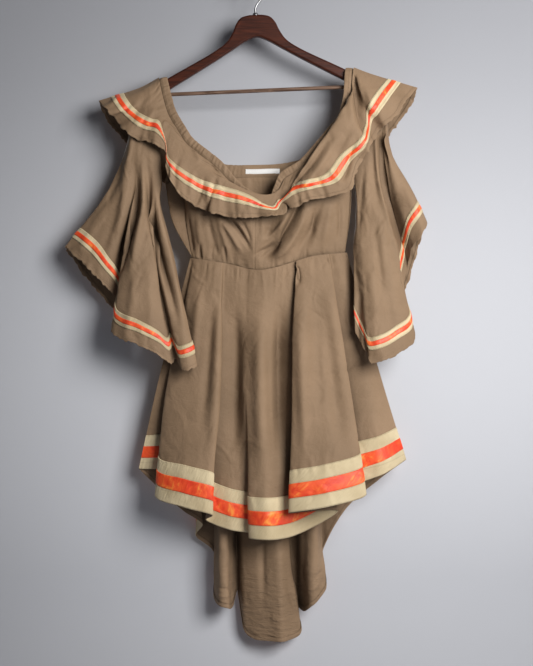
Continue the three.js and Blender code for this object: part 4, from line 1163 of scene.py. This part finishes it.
def sleeves():
    look = sleeveLook
    for side, outward, seed in (("left", -1, 41), ("right", 1, 42)):
        name = f"sleeve_{side}"
        panel = Panel(*sleeveLines(side), look["counts"], look["spacing"], closed=True, outward=outward)
        lift = folded(panel.seen, look["folds"][side]) * np.clip(2 * panel.front() - 1, 0, 1)
        length = panel.along[-1]
        gathers = look["gathers"]
        lift += 0.6 * gathered(panel.along[:-1, :1], panel.down, (0, length[0]), seed=seed, **gathers)
        hem = look["hemWaves"]
        lift += gathered(panel.along[:-1, -1:], panel.up, (0, length[-1]), seed=seed + 5, **hem)
        lift += rumpled(panel.seen, 0.8, 80, seed) + creased(panel.seen, 60, 0.9, 3.2, 60, 0.0, seed)
        start = np.clip((panel.down - 30) / 60, 0, 1)
        panel.lift(lift * start)
        panel.fray(look["ragged"], 7, seed)
        piece = panelPiece(name, panel, paints["cloth"], turnUnder=7)
        tape = stripPiece(f"{name}_tape", panel, paints["tape"],
                          -0.07, 1.1, 13, 0.35, 0.35, seed=seed)
        satin = stripPiece(f"{name}_satin", panel, paints["satin"],
                           0.29, 0.71, 7, 0.9, 0.3, seed=seed)
        report(name, panel)


sleeves()

# Skirt: a short flared front and a long train behind, each with a wide band at its hem
skirtLook = {
    "spacing": {"front": 2.3, "back": 3.0},
    "counts": {"front": (190, 34, 0), "back": (190, 30, 0)},
    "gathers": {"every": 8, "deep": 1.1, "reach": 40},
    "bandTucks": {"every": 15, "deep": 0.9, "reach": 22},
    "hemWaves": {"every": 30, "deep": 1.2, "reach": 40},
    "folds": [
        {"path": [(-96, -530), (-108, -640), (-118, -760)], "deep": 4, "wide": 9},
        {"path": [(-72, -560), (-84, -700), (-100, -850)], "deep": -4, "wide": 9},
        {"path": [(-24, -560), (-26, -700), (-20, -860)], "deep": 3.5, "wide": 9},
        {"path": [(26, -560), (28, -720), (34, -900)], "deep": -3, "wide": 10},
        {"path": [(112, -540), (120, -700), (126, -860)], "deep": -4, "wide": 12},
        {"path": [(134, -540), (152, -680), (172, -820)], "deep": 4, "wide": 11},
        {"path": [(90, -540), (96, -660), (100, -800)], "deep": 3, "wide": 9},
        {"path": [(-30, -580), (-34, -720), (-38, -915)], "deep": -14, "wide": 15},
        {"path": [(-64, -552), (-70, -720), (-77, -890)], "deep": 7, "wide": 10},
        {"path": [(9, -600), (12, -760), (15, -925)], "deep": 8, "wide": 13},
        {"path": [(48, -570), (50, -720), (53, -910)], "deep": -17, "wide": 12},
        {"path": [(81, -556), (88, -740), (96, -899)], "deep": 7, "wide": 10},
        {"path": [(131, -560), (148, -720), (168, -905)], "deep": -8, "wide": 15},
        {"path": [(79, -520), (81, -534), (84, -560)], "deep": -5, "wide": 4},
    ],
    # seen from the front, so the ones that come forward are below zero
    "trainFolds": [
        {"path": [(36, -860), (43, -1040), (49, -1214)], "deep": -11, "wide": 14, "open": "end"},
        {"path": [(-60, -860), (-57, -1020), (-54, -1180)], "deep": -9, "wide": 8, "open": "end"},
        {"path": [(104, -850), (109, -1010), (108, -1170)], "deep": -11, "wide": 10},
        {"path": [(20, -900), (16, -1040), (18, -1170)], "deep": 5, "wide": 6},
        {"path": [(72, -890), (74, -1020), (80, -1140)], "deep": 6, "wide": 7},
        {"path": [(128, -880), (126, -1000), (130, -1090)], "deep": 4, "wide": 6},
        {"path": [(-66, -1110), (-56, -1118), (-46, -1122)], "deep": 1.6, "wide": 2.4},
        {"path": [(-68, -1128), (-58, -1134), (-46, -1132)], "deep": -1.6, "wide": 2.6},
        {"path": [(0, -1150), (30, -1156), (60, -1148)], "deep": 1.4, "wide": 2.4},
        {"path": [(14, -1166), (40, -1176), (76, -1170)], "deep": -1.6, "wide": 2.8},
        {"path": [(96, -1110), (112, -1098), (128, -1080)], "deep": 1.8, "wide": 3},
        {"path": [(94, -1126), (112, -1116), (126, -1098)], "deep": -1.8, "wide": 3},
        {"path": [(60, -1120), (74, -1150), (82, -1186)], "deep": 2.4, "wide": 4},
    ],
    "behindFolds": [
        {"path": [(-70, -540), (-92, -700), (-120, -860)], "deep": 4, "wide": 12},
        {"path": [(-20, -550), (-26, -740), (-40, -980)], "deep": -5, "wide": 13},
        {"path": [(36, -540), (44, -720), (40, -960)], "deep": 4.5, "wide": 12},
        {"path": [(96, -540), (118, -700), (140, -840)], "deep": -4, "wide": 11},
    ],
}


def skirts():
    look = skirtLook
    for side, table, outward, seed in (("front", skirtFront, -1, 51), ("back", skirtBack, 1, 52)):
        name = f"skirt_{side}"
        panel = Panel(*skirtLines(table), look["counts"][side], look["spacing"][side], outward=outward)
        folds = look["folds"] if outward < 0 else look["trainFolds"] + look["behindFolds"]
        lift = folded(panel.seen, folds)
        gathers = look["gathers"]
        lift = lift + gathered(panel.along[:, :1], panel.down, (0, panel.along[-1, 0]),
                               seed=seed, **gathers)
        band = look["bandTucks"]
        lift += gathered(panel.along[:, -1:], panel.up - bandWide + 1, (0, panel.along[-1, -1]),
                         seed=seed + 3, **band)
        hem = look["hemWaves"]
        lift += gathered(panel.along[:, -1:], panel.up, (0, panel.along[-1, -1]), seed=seed + 5, **hem)
        lift += rumpled(panel.seen, 0.8, 90, seed) + creased(panel.seen, 90, 0.75, 3.4, 80, 0.1, seed)
        ends = panel.within(0.8)
        start = np.clip(panel.down / 12, 0, 1)
        panel.lift(lift * ends * start)
        piece = panelPiece(name, panel, paints["cloth"], turnUnder=8)
        tape = stripPiece(f"hem_band_{side}_tape", panel, paints["band"],
                          0, 1, 34, 0.35, 0.4, seed=seed)
        satin = stripPiece(f"hem_band_{side}_satin", panel, paints["satin"],
                           0.33, 0.67, 14, 1.0, 0.35, seed=seed)
        report(name, panel)


skirts()

# Label: a folded white tape at the back of the neck, left blank
labelLook = {"wide": 63, "high": 9, "x": 16, "z": -347, "y": 14.3}


def label():
    look = labelLook
    u = np.linspace(-0.5, 0.5, 60)[:, None]
    v = np.linspace(0.5, -0.5, 10)[None]
    x = look["x"] + u * look["wide"] + 0 * v
    z = look["z"] + v * look["high"] + 0.5 * np.sin(u * 5) + 0 * v
    y = look["y"] - 0.35 * np.cos(u * 9) * (0.4 - v) - 0.25 * (1 - (2 * v) ** 4)
    points = place(np.stack([x, z, y + 0 * x], axis=-1))
    uv = np.stack([(u + 0.5) * look["wide"] + 0 * v, (0.5 - v) * look["high"] + 0 * u], axis=-1)
    piece = meshFrom("neck_label", points, uv, False, -1, paints["label"])
    joinedTo(piece, ["neck_label"])


label()

# Hanger: a shaped wooden board with rounded edges, its rail and its steel hook, all leaning on the hook
hangerLook = {
    "tilt": math.radians(2.45),
    "thick": 13.0,
    "round": 3.2,
    "slope": 0.5236,
    "top": -81.7,
    "reach": 217,
    "highInside": 17.6,
    "highOutside": 20.5,
    "crown": -59,
    "arch": -99,
    "railRadius": 3.6,
    "railHeight": -198,
    "railHalf": 188,
    "wire": 1.9,
    "inside": 16,
}


def armTop(x):
    return hangerLook["top"] - hangerLook["slope"] * abs(x)


def leaned(points):
    tilt = hangerLook["tilt"]
    x, y, z = points[..., 0], points[..., 1], points[..., 2]
    across = x * math.cos(tilt) - z * math.sin(tilt)
    return np.stack([across, y, x * math.sin(tilt) + z * math.cos(tilt)], axis=-1)


def hangerBoard():
    look = hangerLook
    reach, crown = look["reach"], look["crown"]
    half = [(0, crown + 0.5), (14, crown), (27, crown - 4), (36, -73), (44, -90), (55, -106),
            (77, armTop(77)), (150, armTop(150)), (reach - 12, armTop(reach - 12)),
            (reach - 3, armTop(reach - 3) - 2), (reach, armTop(reach) - 9),
            (reach - 8, armTop(reach - 8) - look["highOutside"]), (150, armTop(150) - look["highOutside"]),
            (74, armTop(74) - look["highInside"]), (42, -119), (20, -106), (0, look["arch"])]
    outline = np.array(half + [(-x, z) for x, z in half[-2:0:-1]], float)
    outline = through(outline, np.linspace(0, len(outline), 420, endpoint=False), True)
    ahead = np.roll(outline, -1, axis=0) - np.roll(outline, 1, axis=0)
    inward = np.stack([ahead[:, 1], -ahead[:, 0]], axis=1)
    inward /= np.linalg.norm(inward, axis=1, keepdims=True)
    rings = []
    thick = look["thick"] / 2
    for turn in np.linspace(-90, 90, 13):
        angle = math.radians(turn)
        inset = look["round"] * (1 - math.cos(angle))
        depth = (thick - look["round"]) * np.sign(angle) + look["round"] * math.sin(angle) if turn else 0
        flat = outline + inward * inset
        rings.append(np.stack([flat[:, 0], np.full(len(flat), depth), flat[:, 1]], axis=1))
    points = leaned(np.array(rings).transpose(1, 0, 2))
    run = np.concatenate([[0], np.cumsum(np.linalg.norm(np.diff(outline, axis=0), axis=1))])
    run = np.append(run, run[-1] + 2)
    uv = np.stack(np.meshgrid(run, np.linspace(0, 16, len(rings)), indexing="ij"), axis=-1)
    piece = meshFrom("hanger_body", points, uv, True, 1, paints["wood"])
    mesh = piece.data
    columns, rows = points.shape[:2]
    verts = [tuple(v) for v in (points.reshape(-1, 3) / 1000)]
    faces = [list(p.vertices) for p in mesh.polygons]
    faces.append([k * rows for k in range(columns)])
    faces.append([k * rows + rows - 1 for k in reversed(range(columns))])
    mesh.clear_geometry()
    mesh.from_pydata(verts, [], faces)
    smooth = np.ones(len(faces), bool)
    smooth[-2:] = False
    mesh.polygons.foreach_set("use_smooth", smooth)
    joinedTo(piece, ["hanger_body"])


def tube(name, path, radii, sides, finish, node):
    path = np.asarray(path, float)
    ahead = np.gradient(path, axis=0)
    ahead /= np.maximum(np.linalg.norm(ahead, axis=1, keepdims=True), 1e-9)
    across = np.cross(ahead, [0, 1, 0])
    across /= np.linalg.norm(across, axis=1, keepdims=True)
    turn = np.linspace(0, 2 * math.pi, sides, endpoint=False)
    radii = np.broadcast_to(radii, len(path))
    rings = (path[None] + radii[None, :, None] * (np.cos(turn)[:, None, None] * across[None]
                                                  + np.sin(turn)[:, None, None] * np.array([0, 1, 0])))
    run = np.concatenate([[0], np.cumsum(np.linalg.norm(np.diff(path, axis=0), axis=1))])
    uv = np.stack(np.meshgrid(np.linspace(0, 12, sides + 1), run, indexing="ij"), axis=-1)
    piece = meshFrom(name, leaned(rings), uv, True, 1, finish)
    return joinedTo(piece, node)


def hanger():
    look = hangerLook
    hangerBoard()
    half = look["railHalf"]
    rail = np.stack([np.linspace(-half, half, 60), np.zeros(60), np.full(60, look["railHeight"])], axis=1)
    tube("hanger_bar", rail, look["railRadius"], 32, paints["rail"], ["hanger_bar"])
    middle = look["inside"] + look["wire"]
    knots = [(0, 0, -60), (0.5, 0, -46), (5, 0, -37)]
    for step in range(15):
        angle = math.radians(-50 + step * 17)
        knots.append((middle * math.cos(angle), 0, -look["inside"] + middle * math.sin(angle)))
    knots = np.array(knots)
    wire = through(knots, np.linspace(0, len(knots) - 1, 150))
    radii = np.full(150, look["wire"])
    radii[-9:] = look["wire"] + 0.8 * np.sin(np.linspace(0.1, 1, 9) * math.pi)
    radii[-1] = 0.3
    tube("hanger_hook", wire, radii, 20, paints["steel"], ["hanger_hook"])
    heights = np.array([-66, -65.9, -58, -56, -54.8, -54.4, -54.3])
    collar = np.stack([np.zeros(7), np.zeros(7), heights], axis=1)
    radii = np.array([0.1, 5.5, 5.3, 5.1, 4.4, 3.4, 0.1])
    tube("hook_collar", collar, radii, 36, paints["steel"], [])


hanger()

# Backdrop, lights and camera
stageLook = {
    "wallBehind": 0.052,
    "floor": -1.46,
    "top": 3.0,
    "front": -6.0,
    "halfWide": 5.0,
    "bend": 0.35,
    "key": {"at": (1.0, -1.45, -0.05), "size": 0.95, "power": 46, "color": (1.0, 0.985, 0.96)},
    "fill": {"at": (0.2, -3.0, -0.6), "size": 1.2, "power": 2, "color": (0.96, 0.97, 1.0)},
    "behind": {"at": (-0.9, 2.1, 0.1), "size": 1.4, "power": 20, "color": (0.97, 0.98, 1.0)},
    "aim": (0.02, 0.0, -0.62),
    "sky": (0.03, 0.031, 0.034),
}


def backdrop():
    look = stageLook
    bend = look["bend"]
    profile = [(look["wallBehind"], look["top"]), (look["wallBehind"], look["floor"] + bend)]
    for angle in np.linspace(0, math.pi / 2, 13)[1:]:
        profile.append((look["wallBehind"] - bend * (1 - math.cos(angle)),
                        look["floor"] + bend * (1 - math.sin(angle))))
    profile.append((look["front"], look["floor"]))
    half = look["halfWide"]
    points = np.array([[(x, y, z) for y, z in profile] for x in (half, -half)]) * 1000
    uv = np.zeros(points.shape[:2] + (2,))
    sheet = meshFrom("backdrop", points, uv, False, 1, backdropPaint())
    # the lamp behind reaches the back of the dress
    sheet.visible_shadow = False


def light(name, look):
    lamp = bpy.data.lights.new(name, "AREA")
    lamp.energy = look["power"]
    lamp.size = look["size"]
    lamp.color = look["color"]
    thing = bpy.data.objects.new(name, lamp)
    thing.location = look["at"]
    aim = np.array(stageLook["aim"]) - np.array(look["at"])
    thing.rotation_euler = Vector(aim).to_track_quat("-Z", "Y").to_euler()
    scene.collection.objects.link(thing)


backdrop()
light("key", stageLook["key"])
light("fill", stageLook["fill"])
light("behind", stageLook["behind"])
world = bpy.data.worlds.new("room")
world.use_nodes = True
world.node_tree.nodes["Background"].inputs[0].default_value = (*stageLook["sky"], 1)
scene.world = world
scene.view_settings.view_transform = "Standard"

lens = bpy.data.cameras.new("camera")
lens.sensor_fit = "HORIZONTAL"
lens.sensor_width = 36
# the picture is 533 across, and each of those is 1.85 mm in the hanger's plane
lens.lens = lens.sensor_width * eye["away"] / (533 * 1.85)
camera = bpy.data.objects.new("camera", lens)
camera.location = (eye["x"] / 1000, -eye["away"] / 1000, eye["z"] / 1000)
camera.rotation_euler = (math.pi / 2, 0, 0)
scene.collection.objects.link(camera)
scene.camera = camera

print("dress made")
